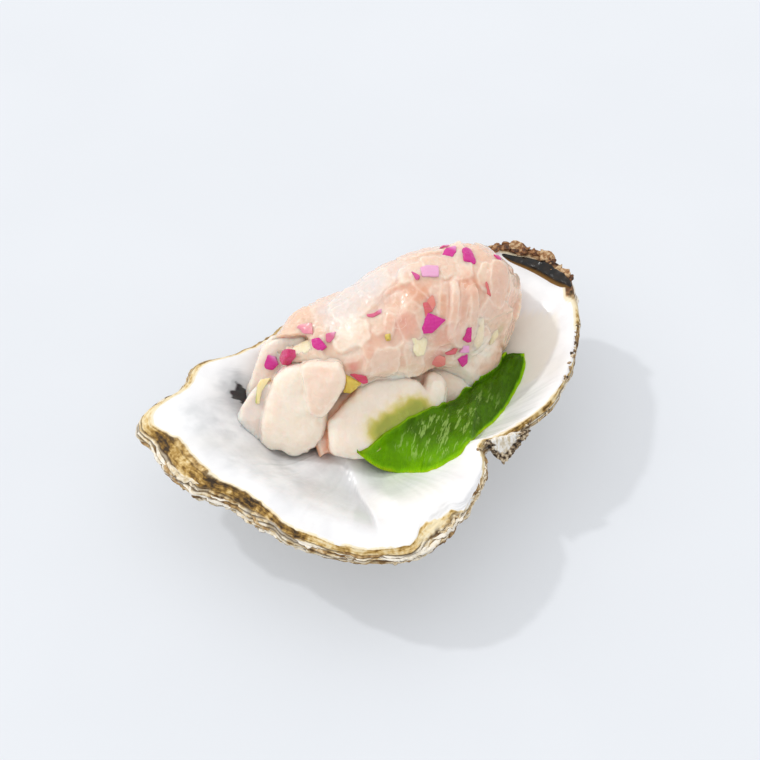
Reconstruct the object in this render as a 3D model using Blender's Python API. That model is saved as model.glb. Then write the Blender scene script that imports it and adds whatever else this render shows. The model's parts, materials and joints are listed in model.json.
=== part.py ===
"""Oyster on the half shell, topped with a quenelle of diced raw fish and a spoonful of herb sauce.

Run with: blender --background --python part.py
Units are metres and +Z is up. +X runs along the shell towards its hinge, the origin is
under the middle of the shell on the surface that it rests on.
"""

import math

import bmesh
import bpy
from mathutils import Matrix, Vector, noise
from mathutils.bvhtree import BVHTree

MM = 0.001

# ---- driving dimensions, in millimetres ----
CUP_FLOOR = 7.0  # height of the deepest point inside the cup
CUP_FLAT = 0.18  # share of the reach over which the floor of the cup is level
LIP_MARGIN = 1.8  # nearly level white margin between the lip and the wall of the cup
NOTCH_FADE = 9.0  # distance from the lip over which its notches die out in the cup wall
NOTCH_TURN = 9.0  # degrees between the five places whose reach is averaged to even out a notch
WALL_POWER = 3.4  # how upright the steepest cup wall stands
MARGIN_FALL = 0.016  # share of the depth of the cup that the margin falls
CUP_WAVE = (0.35, 14.0)  # height and size of the soft waves inside the cup
BASE_WALL = 8.0  # shell thickness under the middle of the cup, which gives the foot it rests on
FLANK_WALL = 4.0  # shell thickness half way up the side
GROWTH_LAYERS = 4  # broad layers on the outside, each ending in a ledge
GROWTH_LEDGE = 1.3
GROWTH_RUN = (0.05, 0.65)  # where the first and last layers end, from the edge (0) to the middle (1)
GROWTH_WANDER = (0.16, 0.6)  # how far the end of a layer wanders, and over what share of a turn
LEDGE_RUN = 0.016  # share of the outside over which a ledge rises
LEDGE_ROUGH = (0.9, 16.0)  # how uneven the ledges are, and over what distance
FOOT_SHARES = (0.78, 0.9)  # points of a section across the foot
EDGE_TUCK = 0.6  # share of the stand-out of the edge from which the outside starts
SHELL_SECTIONS = 90
CUP_SHARES = [step / 14 for step in range(13, -1, -1)]  # points of a section across the cup
CUP_CROWD = 1.2  # how far those points crowd towards the lip
EDGE_SHARES = ((0.62, 0.28), (1.0, 0.55), (0.8, 0.9))  # and over the layered edge: out, down
FIT_GAP = 0.3  # clearance kept between neighbouring solids
REST_REACH = 0.8  # how far round a point the shell is felt for, when something lies on it
MIDDLE = Vector((-7.16, 2.3, 0.0))  # box centre of the outline, moved onto the origin

# The lip of the shell, going round anticlockwise from the hinge. For each point:
# angle (degrees), reach from the middle of the cup, height, depth of the layered edge below
# the lip, how far that edge stands out, and steepness of the cup wall (0 flared, 1 upright).
LIP = (
    (-18, 57.8, 26.6, 5.0, 1.0, 0.60),
    (-10, 60.0, 28.4, 8.0, 1.6, 0.55),
    (0, 58.0, 28.8, 7.0, 1.6, 0.50),
    (5, 53.6, 27.4, 4.6, 1.2, 0.50),
    (16, 45.0, 25.4, 2.6, 1.2, 0.45),
    (28, 36.8, 25.0, 2.2, 1.2, 0.45),
    (45, 30.8, 25.0, 2.0, 1.2, 0.45),
    (63, 28.6, 25.0, 2.0, 1.2, 0.40),
    (88, 27.6, 25.0, 2.0, 1.0, 0.35),
    (103, 29.6, 24.6, 1.8, 1.0, 0.25),
    (112, 34.0, 24.4, 1.8, 1.0, 0.15),
    (119, 39.8, 24.6, 2.0, 1.4, 0.05),
    (130, 41.6, 25.0, 2.4, 1.8, 0.00),
    (142, 51.2, 26.0, 3.6, 2.6, 0.00),
    (150, 46.4, 25.6, 5.0, 4.8, 0.00),
    (166, 44.2, 25.0, 5.6, 3.8, 0.00),
    (181, 41.0, 25.0, 6.0, 2.6, 0.00),
    (196, 43.6, 25.0, 5.0, 1.8, 0.00),
    (222, 46.8, 25.0, 3.6, 1.4, 0.00),
    (240, 44.0, 25.0, 4.2, 2.4, 0.05),
    (258, 38.2, 25.0, 3.6, 1.2, 0.10),
    (270, 34.2, 24.6, 3.4, 1.2, 0.15),
    (278, 29.8, 24.2, 3.0, 1.4, 0.20),
    (284, 33.4, 24.8, 3.6, 1.6, 0.30),
    (303, 41.6, 25.0, 2.4, 0.8, 0.45),
    (326, 50.6, 25.0, 2.0, 0.6, 0.60),
)

# The fold that runs from the middle of the cup to the lip: the cup wall is raised beyond it.
FOLD_FROM = Vector((-13.0, 1.0))
FOLD_TO = Vector((-27.0, -36.0))
FOLD_RISE = 1.7
FOLD_STEP = (-0.5, 3.6)  # distances across the fold between which it climbs
FOLD_FADE = (8.0, 22.0)  # and between which it dies out again
FOLD_DIP = (2.5, 3.2, 0.45)  # the hollow before it: how far off, how wide, share of the rise
FOLD_GROWTH = (-0.1, 0.35)  # shares of its length between which it grows
FOLD_REST = 0.75  # share of it that is lost at the lip

# The hinge ligament, a dark elastic strip just inside the lip at the hinge end.
LIGAMENT_ENDS = (Vector((54.0, 2.0)), Vector((56.2, -16.8)))
LIGAMENT_BOW = 1.8
LIGAMENT_WIDTH = 3.4
LIGAMENT_HEIGHT = 2.4
LIGAMENT_GROOVE = 4.2  # depth of the groove that it lies in
GROOVE_HALF = 3.2  # half width of the groove
GROOVE_END = 1.6  # distance over which the groove dies out at its ends
GROOVE_REACH = 0.42  # share of the ligament's length after which it does so

# The quenelle of diced fish: an oval heap with blunt ends, higher towards the hinge.
QUENELLE = {"centre": Vector((15.5, 5.9)), "turn": -21.0, "length": 66.0, "width": 29.0,
            "middle": 24.0, "rise": 17.5, "slope": 3.6, "taper": 0.10, "dice": 9.0, "relief": 1.0,
            "blunt_long": 0.85, "blunt_wide": 0.9}

# Two broad slices of fish that lean on the near end of the quenelle.
SLICES = {
    "fish_slice_left": {"centre": Vector((-12.0, 11.2, 20.5)), "size": Vector((23.6, 14.0, 24.0)),
                        "turn": -54.0, "lean": 30.0},
    "fish_slice_front": {"centre": Vector((1.2, -2.8, 17.0)), "size": Vector((31.0, 11.0, 19.0)),
                         "turn": -31.0, "lean": 44.0},
}

SLICE_BLUNT = (0.8, 0.85)  # how squared off a slice is along and across, and from top to bottom
SLICE_RELIEF = (0.5, 9.0)  # height and size of its soft waves

# The herb sauce: the line along which it was spooned, with its half width at each point.
SAUCE_LINE = ((38.5, -14.6, 3.0), (29.0, -17.4, 5.6), (15.0, -20.2, 7.2), (4.2, -17.2, 8.0),
              (-7.8, -3.0, 3.4))
SAUCE_DEPTH = 2.6
SAUCE_LIFT = 0.4  # extra clearance under the sauce, whose wide facets bridge the fold below it
SAUCE_RIM = 0.45  # thickness at its margin
SAUCE_STEP = 0.02  # share of the line over which its direction is measured
SAUCE_END = 0.25  # least share of the width that is left at its ends
SAUCE_FULL = 0.7  # how full the pool is, 1 for a plain dome

# Segments round and rings from pole to pole of each food solid.
FACETS = {"hinge_ligament": (20, 8), "tartare": (40, 20), "slice": (22, 10), "herb_sauce": (36, 10)}
COLOURS = {"shell": (0.80, 0.78, 0.72), "hinge_ligament": (0.045, 0.035, 0.028),
           "tartare": (0.86, 0.66, 0.58), "slice": (0.88, 0.76, 0.62), "herb_sauce": (0.10, 0.22, 0.012)}
ROUGHNESS = {"shell": 0.45, "hinge_ligament": 0.3, "tartare": 0.3, "slice": 0.3, "herb_sauce": 0.25}


# ---- small helpers ----
def smooth(low, high, value):
    """0 below low, 1 above high, and an S-curve between."""
    share = min(1.0, max(0.0, (value - low) / (high - low)))
    return share * share * (3.0 - 2.0 * share)


def between(before, start, end, after, share):
    """Cubic through start and end that leaves towards their outer neighbours, never overshooting."""
    leave = 0.0 if (start - before) * (end - start) <= 0 else (end - before) / 2
    arrive = 0.0 if (end - start) * (after - end) <= 0 else (after - start) / 2
    limit = 2.5 * abs(end - start)
    leave = max(-limit, min(limit, leave))
    arrive = max(-limit, min(limit, arrive))
    s = share
    return ((2 * s**3 - 3 * s**2 + 1) * start + (s**3 - 2 * s**2 + s) * leave
            + (3 * s**2 - 2 * s**3) * end + (s**3 - s**2) * arrive)


def lip_at(angle):
    """Reach, height, edge depth, edge stand-out and wall steepness of the lip at an angle in degrees."""
    angle = (angle - LIP[0][0]) % 360.0 + LIP[0][0]
    count = len(LIP)
    here = max(i for i in range(count) if LIP[i][0] <= angle)
    start = LIP[here]
    end = LIP[(here + 1) % count]
    gap = (end[0] - start[0]) % 360.0
    share = (angle - start[0]) / gap
    before = LIP[here - 1]
    after = LIP[(here + 2) % count]
    return [between(before[c], start[c], end[c], after[c], share) for c in range(1, 6)]


def broad_reach(angle):
    """Reach of the lip with its notches evened out."""
    return sum(lip_at(angle + NOTCH_TURN * step)[0] for step in range(-2, 3)) / 5


def wobble(point, size, seed):
    """Smooth noise between about -1 and 1, with features of the given size in millimetres."""
    return noise.noise(Vector((point[0] / size, point[1] / size, point[2] / size + seed)))


# ---- the shell ----
def fold_relief(x, y):
    """Height that the radial fold adds to the inside of the cup."""
    along = (FOLD_TO - FOLD_FROM).normalized()
    offset = Vector((x, y)) - FOLD_FROM
    beyond = offset.x * -along.y + offset.y * along.x
    travelled = offset.dot(along) / (FOLD_TO - FOLD_FROM).length
    grown = smooth(*FOLD_GROWTH, travelled) * (1.0 - FOLD_REST * smooth(0.8, 1.0, travelled))
    raised = smooth(*FOLD_STEP, beyond) * (1.0 - smooth(*FOLD_FADE, beyond))
    away, wide, share = FOLD_DIP
    dipped = math.exp(-(((beyond + away) / wide) ** 2))
    return grown * FOLD_RISE * (raised - share * dipped)


def groove_relief(x, y):
    """Depth of the groove at the hinge that holds the ligament."""
    start, end = LIGAMENT_ENDS
    along = (end - start).normalized()
    offset = Vector((x, y)) - (start + end) / 2
    ahead = max(0.0, abs(offset.dot(along)) - GROOVE_REACH * (end - start).length)
    aside = offset.x * -along.y + offset.y * along.x - 0.5 * LIGAMENT_BOW
    return LIGAMENT_GROOVE * math.exp(-((aside / GROOVE_HALF) ** 2) - (ahead / GROOVE_END) ** 2)


def inside_height(x, y):
    """Height of the inner surface of the cup over a point of its plan."""
    angle = math.degrees(math.atan2(y, x))
    reach, height, _, _, steep = lip_at(angle)
    radius = math.hypot(x, y)
    reach += (broad_reach(angle) - reach) * smooth(0.0, NOTCH_FADE, reach - radius)
    inward = max(0.0, 1.0 - radius / reach)
    margin = LIP_MARGIN / reach
    down = min(1.0, max(0.0, inward - margin) / (1.0 - CUP_FLAT - margin))
    flared = 0.5 - 0.5 * math.cos(math.pi * down)
    upright = 1.0 - (1.0 - down) ** WALL_POWER
    sunk = flared + steep * (upright - flared) + MARGIN_FALL * min(1.0, inward / margin)
    waves = CUP_WAVE[0] * wobble((x, y, 0.0), CUP_WAVE[1], 3.0) * smooth(0.0, 0.15, inward)
    level = height - (height - CUP_FLOOR) * min(1.0, sunk)
    return level + fold_relief(x, y) - groove_relief(x, y) + waves


def inner_point(angle, inward):
    """A point of the inner surface: inward is 0 at the lip and 1 in the middle of the cup."""
    radius = lip_at(angle)[0] * (1.0 - inward)
    x = radius * math.cos(math.radians(angle))
    y = radius * math.sin(math.radians(angle))
    return Vector((x, y, inside_height(x, y)))


def edge_point(angle, out, down):
    """A point of the layered edge, as shares of how far it stands out and of its depth."""
    reach, height, edge, stand_out, _ = lip_at(angle)
    radius = reach + out * stand_out
    return Vector((radius * math.cos(math.radians(angle)), radius * math.sin(math.radians(angle)),
                   height - down * edge))


def outer_point(angle, travelled, ledge):
    """A point of the outside: travelled is 0 below the edge and 1 in the middle of the foot."""
    reach, height, edge, stand_out, _ = lip_at(angle)
    radius = (reach + EDGE_TUCK * stand_out) * (1.0 - travelled)
    across = Vector((math.cos(math.radians(angle)), math.sin(math.radians(angle)), 0.0))
    spot = across * radius
    inner = inside_height(spot.x, spot.y) if radius < reach else height
    wall = edge + (FLANK_WALL - edge) * smooth(0.0, 0.25, travelled)
    wall += (BASE_WALL - FLANK_WALL) * smooth(0.35, 0.9, travelled)
    spot.z = inner - wall
    rough = 1.0 + LEDGE_ROUGH[0] * wobble(spot, LEDGE_ROUGH[1], 8.0)
    spot += (across - Vector((0.0, 0.0, 1.0))) * math.sqrt(0.5) * GROWTH_LEDGE * ledge * rough
    spot.z = max(0.0, spot.z)
    return spot


def growth_line(angle, step):
    """Where along the outside the growth layer of this number ends, a little uneven as it goes round."""
    first, last = GROWTH_RUN
    even = first + (last - first) * step / GROWTH_LAYERS
    turned = math.radians(angle)
    far, size = GROWTH_WANDER
    return even * (1.0 + far * wobble((math.cos(turned), math.sin(turned), 0.0), size, step))


def shell_profile(angle):
    """The section of the shell at an angle, from the middle of the cup over the lip to the foot."""
    section = [inner_point(angle, share**CUP_CROWD) for share in CUP_SHARES]
    section += [edge_point(angle, *share) for share in EDGE_SHARES]
    for step in range(GROWTH_LAYERS):
        start = growth_line(angle, step)
        end = growth_line(angle, step + 1)
        section.append(outer_point(angle, start, 0.0))
        section.append(outer_point(angle, start + LEDGE_RUN, 1.0))
        section.append(outer_point(angle, 0.5 * (start + end), 0.5))
    section.append(outer_point(angle, growth_line(angle, GROWTH_LAYERS), 0.0))
    section += [outer_point(angle, share, 0.0) for share in FOOT_SHARES]
    return section


def ball(name, kind, place, cutter=False):
    """A UV sphere whose points are moved to place(longitude, latitude), in degrees, as one object."""
    segments, rings = FACETS[kind]
    form = bmesh.new()
    bmesh.ops.create_uvsphere(form, u_segments=segments, v_segments=rings, radius=1.0)
    for vert in form.verts:
        latitude = math.degrees(math.asin(max(-1.0, min(1.0, vert.co.z))))
        longitude = math.degrees(math.atan2(vert.co.y, vert.co.x))
        vert.co = (place(longitude, latitude) + MIDDLE) * MM
    bmesh.ops.recalc_face_normals(form, faces=form.faces)
    made = as_object(name, kind, form)
    if cutter:
        made.hide_render = True
        made.display_type = "WIRE"
    return made


def as_object(name, kind, form):
    """Turns a bmesh into a smooth-shaded object with its own finish."""
    mesh = bpy.data.meshes.new(name)
    form.to_mesh(mesh)
    form.free()
    mesh.shade_smooth()
    made = bpy.data.objects.new(name, mesh)
    made.data.materials.append(finish(name, kind))
    bpy.context.scene.collection.objects.link(made)
    return made


def finish(name, kind):
    """A plain finish in the colour of this kind of thing."""
    material = bpy.data.materials.new(name + "_finish")
    material.use_nodes = True
    shader = material.node_tree.nodes["Principled BSDF"]
    shader.inputs["Base Color"].default_value = (*COLOURS[kind], 1.0)
    shader.inputs["Roughness"].default_value = ROUGHNESS[kind]
    shader.inputs["Metallic"].default_value = 0.0
    return material


def make_shell():
    """The sections all round, joined into one skin and closed in the middle above and below."""
    form = bmesh.new()
    loops = []
    for index in range(SHELL_SECTIONS):
        section = shell_profile(360.0 * index / SHELL_SECTIONS)
        loops.append([form.verts.new((spot + MIDDLE) * MM) for spot in section])
    cup = form.verts.new((inner_point(0.0, 1.0) + MIDDLE) * MM)
    foot = form.verts.new((outer_point(0.0, 1.0, 0.0) + MIDDLE) * MM)
    for loop, following in zip(loops, loops[1:] + loops[:1]):
        form.faces.new((cup, loop[0], following[0]))
        form.faces.new((foot, following[-1], loop[-1]))
        for index in range(len(loop) - 1):
            form.faces.new((loop[index], loop[index + 1], following[index + 1], following[index]))
    bmesh.ops.recalc_face_normals(form, faces=form.faces)
    return as_object("shell", "shell", form)


def resting_height(shell):
    """Returns a function that gives the height at which food clears the inside of the shell."""
    skin = BVHTree.FromPolygons([vert.co / MM - MIDDLE for vert in shell.data.vertices],
                                [face.vertices for face in shell.data.polygons])

    def height_over(x, y):
        found = []
        for east, north in ((0, 0), (1, 0), (0, 1), (-1, 0), (0, -1)):
            above = Vector((x + REST_REACH * east, y + REST_REACH * north, 90.0))
            hit = skin.ray_cast(above, Vector((0.0, 0.0, -1.0)))[0]
            found.append(hit.z if hit else CUP_FLOOR)
        return max(found) + FIT_GAP

    return height_over


# ---- the hinge ligament ----
def make_ligament(rest):
    """A bean-shaped strip lying across the hinge end of the cup."""
    start, end = LIGAMENT_ENDS
    middle = (start + end) / 2
    along = (end - start).normalized()
    across = Vector((-along.y, along.x))
    half = (end - start).length / 2

    def place(longitude, latitude):
        turned = math.radians(longitude)
        raised = math.radians(latitude)
        east = math.cos(raised) * math.cos(turned)
        north = math.cos(raised) * math.sin(turned)
        bow = LIGAMENT_BOW * (1.0 - east * east)
        spot = middle + along * half * east
        spot += across * (LIGAMENT_WIDTH / 2 * north + bow)
        level = rest(spot.x, spot.y)
        up = LIGAMENT_HEIGHT * (0.5 + 0.5 * math.sin(raised)) * (0.8 + 0.2 * east)
        return Vector((spot.x, spot.y, level + max(0.0, up)))

    return ball("hinge_ligament", "hinge_ligament", place)


# ---- the food ----
def blunt(value, power):
    """Keeps the sign of a sine or cosine and squares its curve off."""
    return math.copysign(abs(value) ** power, value)


def settled(point, rest):
    """Lets a point of the food lie on the shell instead of passing through it."""
    return Vector((point.x, point.y, max(point.z, rest(point.x, point.y))))


def quenelle_point(longitude, latitude, grow=0.0):
    heap = QUENELLE
    turned = math.radians(longitude)
    raised = math.radians(latitude)
    level = math.cos(raised) ** heap["blunt_long"]
    east = blunt(math.cos(turned), heap["blunt_long"]) * level
    north = blunt(math.sin(turned), heap["blunt_wide"]) * level
    up = blunt(math.sin(raised), heap["blunt_wide"])
    rise = heap["rise"] + heap["slope"] * east
    broad = 1.0 + heap["taper"] * east
    spot = Vector((east * (heap["length"] / 2 + grow), north * (broad * heap["width"] / 2 + grow),
                   heap["middle"] + heap["slope"] * east + up * (rise + grow)))
    spot.xy = Matrix.Rotation(math.radians(heap["turn"]), 2) @ spot.xy + heap["centre"]
    outward = Vector((east, north, up)).normalized()
    bumps = wobble(spot, heap["dice"], 1.0) + 0.5 * wobble(spot, heap["dice"] / 2, 5.0)
    return spot + outward * heap["relief"] * bumps * smooth(-0.7, 0.1, up)


def make_quenelle(name, rest, grow=0.0, cutter=False):
    def place(longitude, latitude):
        spot = quenelle_point(longitude, latitude, grow)
        return spot if cutter else settled(spot, rest)

    return ball(name, "tartare", place, cutter)


def make_slice(name, rest, grow=0.0, cutter=False):
    """A thick rounded slice that stands on its edge and leans back on the quenelle."""
    fish = SLICES[name]
    tilt = (Matrix.Rotation(math.radians(fish["turn"]), 3, "Z")
            @ Matrix.Rotation(math.radians(-fish["lean"]), 3, "X"))
    half = fish["size"] / 2

    def place(longitude, latitude):
        turned = math.radians(longitude)
        raised = math.radians(latitude)
        flat, tall = SLICE_BLUNT
        level = math.cos(raised) ** flat
        local = Vector((blunt(math.cos(turned), flat) * level * (half.x + grow),
                        blunt(math.sin(turned), flat) * level * (half.y + grow),
                        blunt(math.sin(raised), tall) * (half.z + grow)))
        spot = fish["centre"] + tilt @ local
        spot += (tilt @ local).normalized() * SLICE_RELIEF[0] * wobble(spot, SLICE_RELIEF[1], 2.0)
        return spot if cutter else settled(spot, rest)

    return ball(name + ("_cutter" if cutter else ""), "slice", place, cutter)


def sauce_at(share):
    """Middle of the sauce and its half width, from the hinge end (0) to the near end (1)."""
    last = len(SAUCE_LINE) - 1
    here = min(last - 1, int(share * last))
    rest = share * last - here
    found = []
    for column in range(3):
        line = [stop[column] for stop in SAUCE_LINE]
        before = line[here - 1] if here else 2 * line[0] - line[1]
        after = line[here + 2] if here + 2 <= last else 2 * line[last] - line[last - 1]
        start = line[here]
        end = line[here + 1]
        found.append(0.5 * (2 * start + (end - before) * rest
                            + (2 * before - 5 * start + 4 * end - after) * rest**2
                            + (3 * start - before - 3 * end + after) * rest**3))
    return Vector(found[:2]), found[2]


def make_sauce(rest):
    """A rounded pool, thick in the middle and thin at its margin, lying on the cup wall."""

    def place(longitude, latitude):
        turned = math.radians(longitude)
        raised = math.radians(latitude)
        level = math.cos(raised) ** 0.9
        share = 0.5 - 0.5 * math.cos(turned) * level
        middle, half = sauce_at(share)
        ahead, _ = sauce_at(min(1.0, share + SAUCE_STEP))
        behind, _ = sauce_at(max(0.0, share - SAUCE_STEP))
        along = (ahead - behind).normalized()
        across = Vector((-along.y, along.x))
        across_share = math.sin(turned) * level / max(SAUCE_END, math.sqrt(1.0 - (2 * share - 1) ** 2))
        spot = middle - across * half * max(-1.0, min(1.0, across_share))
        floor = rest(spot.x, spot.y) + SAUCE_LIFT
        up = max(0.0, math.sin(raised)) ** SAUCE_FULL
        rim = SAUCE_RIM if latitude >= 0.0 else 0.0
        return Vector((spot.x, spot.y, floor + rim + SAUCE_DEPTH * up))

    return ball("herb_sauce", "herb_sauce", place)


def cut(target, cutter):
    """Takes the cutter out of the target with a Boolean modifier."""
    clear = target.modifiers.new("clear_of_" + cutter.name, "BOOLEAN")
    clear.operation = "DIFFERENCE"
    clear.solver = "EXACT"
    clear.object = cutter


def main():
    for leftover in list(bpy.data.objects):
        bpy.data.objects.remove(leftover)
    rest = resting_height(make_shell())
    make_ligament(rest)
    quenelle = make_quenelle("tartare", rest)
    left = make_slice("fish_slice_left", rest)
    front = make_slice("fish_slice_front", rest)
    sauce = make_sauce(rest)
    left_cutter = make_slice("fish_slice_left", rest, FIT_GAP, cutter=True)
    front_cutter = make_slice("fish_slice_front", rest, FIT_GAP, cutter=True)
    quenelle_cutter = make_quenelle("tartare_cutter", rest, FIT_GAP, cutter=True)
    cut(quenelle, left_cutter)
    cut(quenelle, front_cutter)
    cut(left, front_cutter)
    cut(sauce, front_cutter)
    cut(sauce, quenelle_cutter)


main()
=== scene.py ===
import json
import math
import random
from types import SimpleNamespace

import bpy
import numpy as np
from mathutils import Matrix, Vector, noise
from mathutils.bvhtree import BVHTree

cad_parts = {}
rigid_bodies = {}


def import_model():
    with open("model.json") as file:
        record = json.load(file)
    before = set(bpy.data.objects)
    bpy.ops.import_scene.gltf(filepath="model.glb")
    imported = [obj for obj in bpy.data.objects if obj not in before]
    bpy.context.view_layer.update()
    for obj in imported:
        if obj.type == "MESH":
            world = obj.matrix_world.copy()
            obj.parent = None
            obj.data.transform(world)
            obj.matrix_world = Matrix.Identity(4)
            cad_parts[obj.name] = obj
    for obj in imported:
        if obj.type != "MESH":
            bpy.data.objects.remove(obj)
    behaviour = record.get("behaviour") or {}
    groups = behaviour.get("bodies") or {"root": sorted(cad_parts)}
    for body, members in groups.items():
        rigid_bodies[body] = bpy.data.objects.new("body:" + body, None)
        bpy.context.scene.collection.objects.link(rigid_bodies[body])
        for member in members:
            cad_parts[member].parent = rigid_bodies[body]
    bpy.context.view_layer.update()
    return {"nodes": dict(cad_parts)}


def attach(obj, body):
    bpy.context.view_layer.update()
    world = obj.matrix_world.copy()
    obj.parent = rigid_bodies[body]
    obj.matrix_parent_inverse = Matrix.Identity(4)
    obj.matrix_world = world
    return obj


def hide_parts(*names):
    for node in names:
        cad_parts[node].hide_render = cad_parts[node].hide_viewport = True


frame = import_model()
scene = bpy.context.scene
mm = 0.001
highAbove = 90  # mm, over everything
farOff = 1e9
cupMiddle = np.array([-7.16, 2.30])  # where the shell's radial lines meet, seen from above, in mm
toRight = Vector((0.6428, -0.7660, 0.0))  # the camera's right, level
toCamera = Vector((-0.5126, -0.4301, 0.7431))


# curves and noise
def smooth(low, high, value):
    share = np.clip((value - low) / (high - low), 0.0, 1.0)
    return share * share * (3.0 - 2.0 * share)


def ripple(places, size, seed=0.0, octaves=1):
    # soft noise between about -1 and 1, one value for each place (mm)
    shift = Vector((3.1 * seed, 1.7 * seed, 0.6 * seed))
    spots = (np.asarray(places, dtype=float) / size).reshape(-1, 3).tolist()
    if octaves == 1:
        values = [noise.noise(Vector(spot) + shift) for spot in spots]
    else:
        values = [noise.fractal(Vector(spot) + shift, 0.8, 2.1, octaves) for spot in spots]
    return np.array(values).reshape(np.asarray(places).shape[:-1])


def goRound(rows, count):
    # even periodic resampling of rows, with a smooth curve through them
    total = len(rows)
    where = np.arange(count) * total / count
    here = where.astype(int)
    share = (where - here).reshape((-1,) + (1,) * (rows.ndim - 1))
    a, b, c, d = (rows[(here + step) % total] for step in (-1, 0, 1, 2))
    return 0.5 * (2 * b + (c - a) * share + (2 * a - 5 * b + 4 * c - d) * share**2
                  + (3 * b - a - 3 * c + d) * share**3)


def ease(values, times, axis=0, closed=True):
    # evens out neighbours along one axis
    for _ in range(times):
        if closed:
            values = (np.roll(values, 1, axis) + 2 * values + np.roll(values, -1, axis)) / 4
        else:
            padded = np.concatenate([values[:, :1], values, values[:, -1:]], axis=1)
            values = (padded[:, :-2] + 2 * padded[:, 1:-1] + padded[:, 2:]) / 4
    return values


def curveThrough(stops, count):
    # smooth open curve through the stops given
    stops = np.array(stops, dtype=float)
    stops = np.vstack([2 * stops[0] - stops[1], stops, 2 * stops[-1] - stops[-2]])
    where = np.linspace(0, len(stops) - 3 - 1e-6, count)
    here = where.astype(int)
    share = (where - here)[:, None]
    a, b, c, d = (stops[here + step] for step in range(4))
    return 0.5 * (2 * b + (c - a) * share + (2 * a - 5 * b + 4 * c - d) * share**2
                  + (3 * b - a - 3 * c + d) * share**3)


# mesh pieces
def treeOf(piece):
    # search tree of a shown piece or a CAD node, in mm
    mesh = piece.data
    spots = np.empty(len(mesh.vertices) * 3)
    mesh.vertices.foreach_get("co", spots)
    spots = spots.reshape(-1, 3) / mm
    if piece.type == "MESH" and piece.parent is not None:
        turn = np.array(piece.matrix_world)
        spots = (spots * mm) @ turn[:3, :3].T / mm + turn[:3, 3] / mm
    return BVHTree.FromPolygons(spots.tolist(), [tuple(face.vertices) for face in mesh.polygons])


def spotsOf(piece):
    spots = np.empty(len(piece.data.vertices) * 3)
    piece.data.vertices.foreach_get("co", spots)
    return spots.reshape(-1, 3) / mm


def bare(name, spots, faces):
    mesh = bpy.data.meshes.new(name)
    mesh.from_pydata((np.asarray(spots) * mm).tolist(), [], faces)
    mesh.shade_smooth()
    piece = bpy.data.objects.new(name, mesh)
    scene.collection.objects.link(piece)
    return piece


def register(piece, finish, standsFor=()):
    piece.data.materials.clear()
    piece.data.materials.append(finish)
    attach(piece, "root")
    if standsFor:
        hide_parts(*standsFor)
    print(piece.name, len(piece.data.polygons), "faces")
    return piece


def paint(piece, name, values):
    values = np.asarray(values, dtype=np.float32)
    kind = "FLOAT_VECTOR" if values.ndim == 2 else "FLOAT"
    layer = piece.data.attributes.new(name, kind, "POINT")
    layer.data.foreach_set("vector" if values.ndim == 2 else "value", values.ravel())


def fuse(name, spots, faces, voxel, rounds):
    # one closed skin round many overlapping lumps, with soft creases where they meet
    piece = bare(name, spots, faces)
    skin = piece.modifiers.new("skin", "REMESH")
    skin.mode = "VOXEL"
    skin.voxel_size = voxel * mm
    skin.use_smooth_shade = True
    soften = piece.modifiers.new("soften", "SMOOTH")
    soften.factor = 0.5
    soften.iterations = rounds
    graph = bpy.context.evaluated_depsgraph_get()
    made = bpy.data.meshes.new_from_object(piece.evaluated_get(graph))
    piece.modifiers.clear()
    piece.data = made
    made.shade_smooth()
    return piece


def joined(parts):
    # spots and faces of many small forms as one
    spots = []
    faces = []
    start = 0
    for points, polygons in parts:
        spots.append(points)
        faces += [tuple(corner + start for corner in polygon) for polygon in polygons]
        start += len(points)
    return np.vstack(spots), faces


def insideBy(outline, places):
    # how far inside a closed outline each place lies, in mm, less than nothing outside it
    starts = np.asarray(outline)
    ends = np.roll(starts, -1, axis=0)
    reach = np.full(len(places), farOff)
    within = np.zeros(len(places), dtype=bool)
    for start, end in zip(starts, ends):
        way = end - start
        share = np.clip(((places - start) @ way) / (way @ way + 1e-12), 0, 1)
        reach = np.minimum(reach, np.linalg.norm(places - start - share[:, None] * way, axis=1))
        crosses = (start[1] > places[:, 1]) != (end[1] > places[:, 1])
        with np.errstate(divide="ignore", invalid="ignore"):
            at = start[0] + (places[:, 1] - start[1]) * way[0] / way[1]
        within ^= crosses & (places[:, 0] < at)
    return np.where(within, reach, -reach)


def slab(top, bottom):
    # a closed sheet between two grids of the same size
    rows, columns = top.shape[:2]
    total = rows * columns
    faces = []
    for row in range(rows - 1):
        for column in range(columns - 1):
            a = row * columns + column
            faces.append((a, a + columns, a + columns + 1, a + 1))
            faces.append((total + a, total + a + 1, total + a + columns + 1, total + a + columns))
    rim = (list(range(columns)) + [row * columns + columns - 1 for row in range(1, rows)]
           + [(rows - 1) * columns + column for column in range(columns - 2, -1, -1)]
           + [row * columns for row in range(rows - 2, 0, -1)])
    faces += [(a, b, total + b, total + a) for a, b in zip(rim, rim[1:] + rim[:1])]
    return np.vstack([top.reshape(-1, 3), bottom.reshape(-1, 3)]), faces


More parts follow.
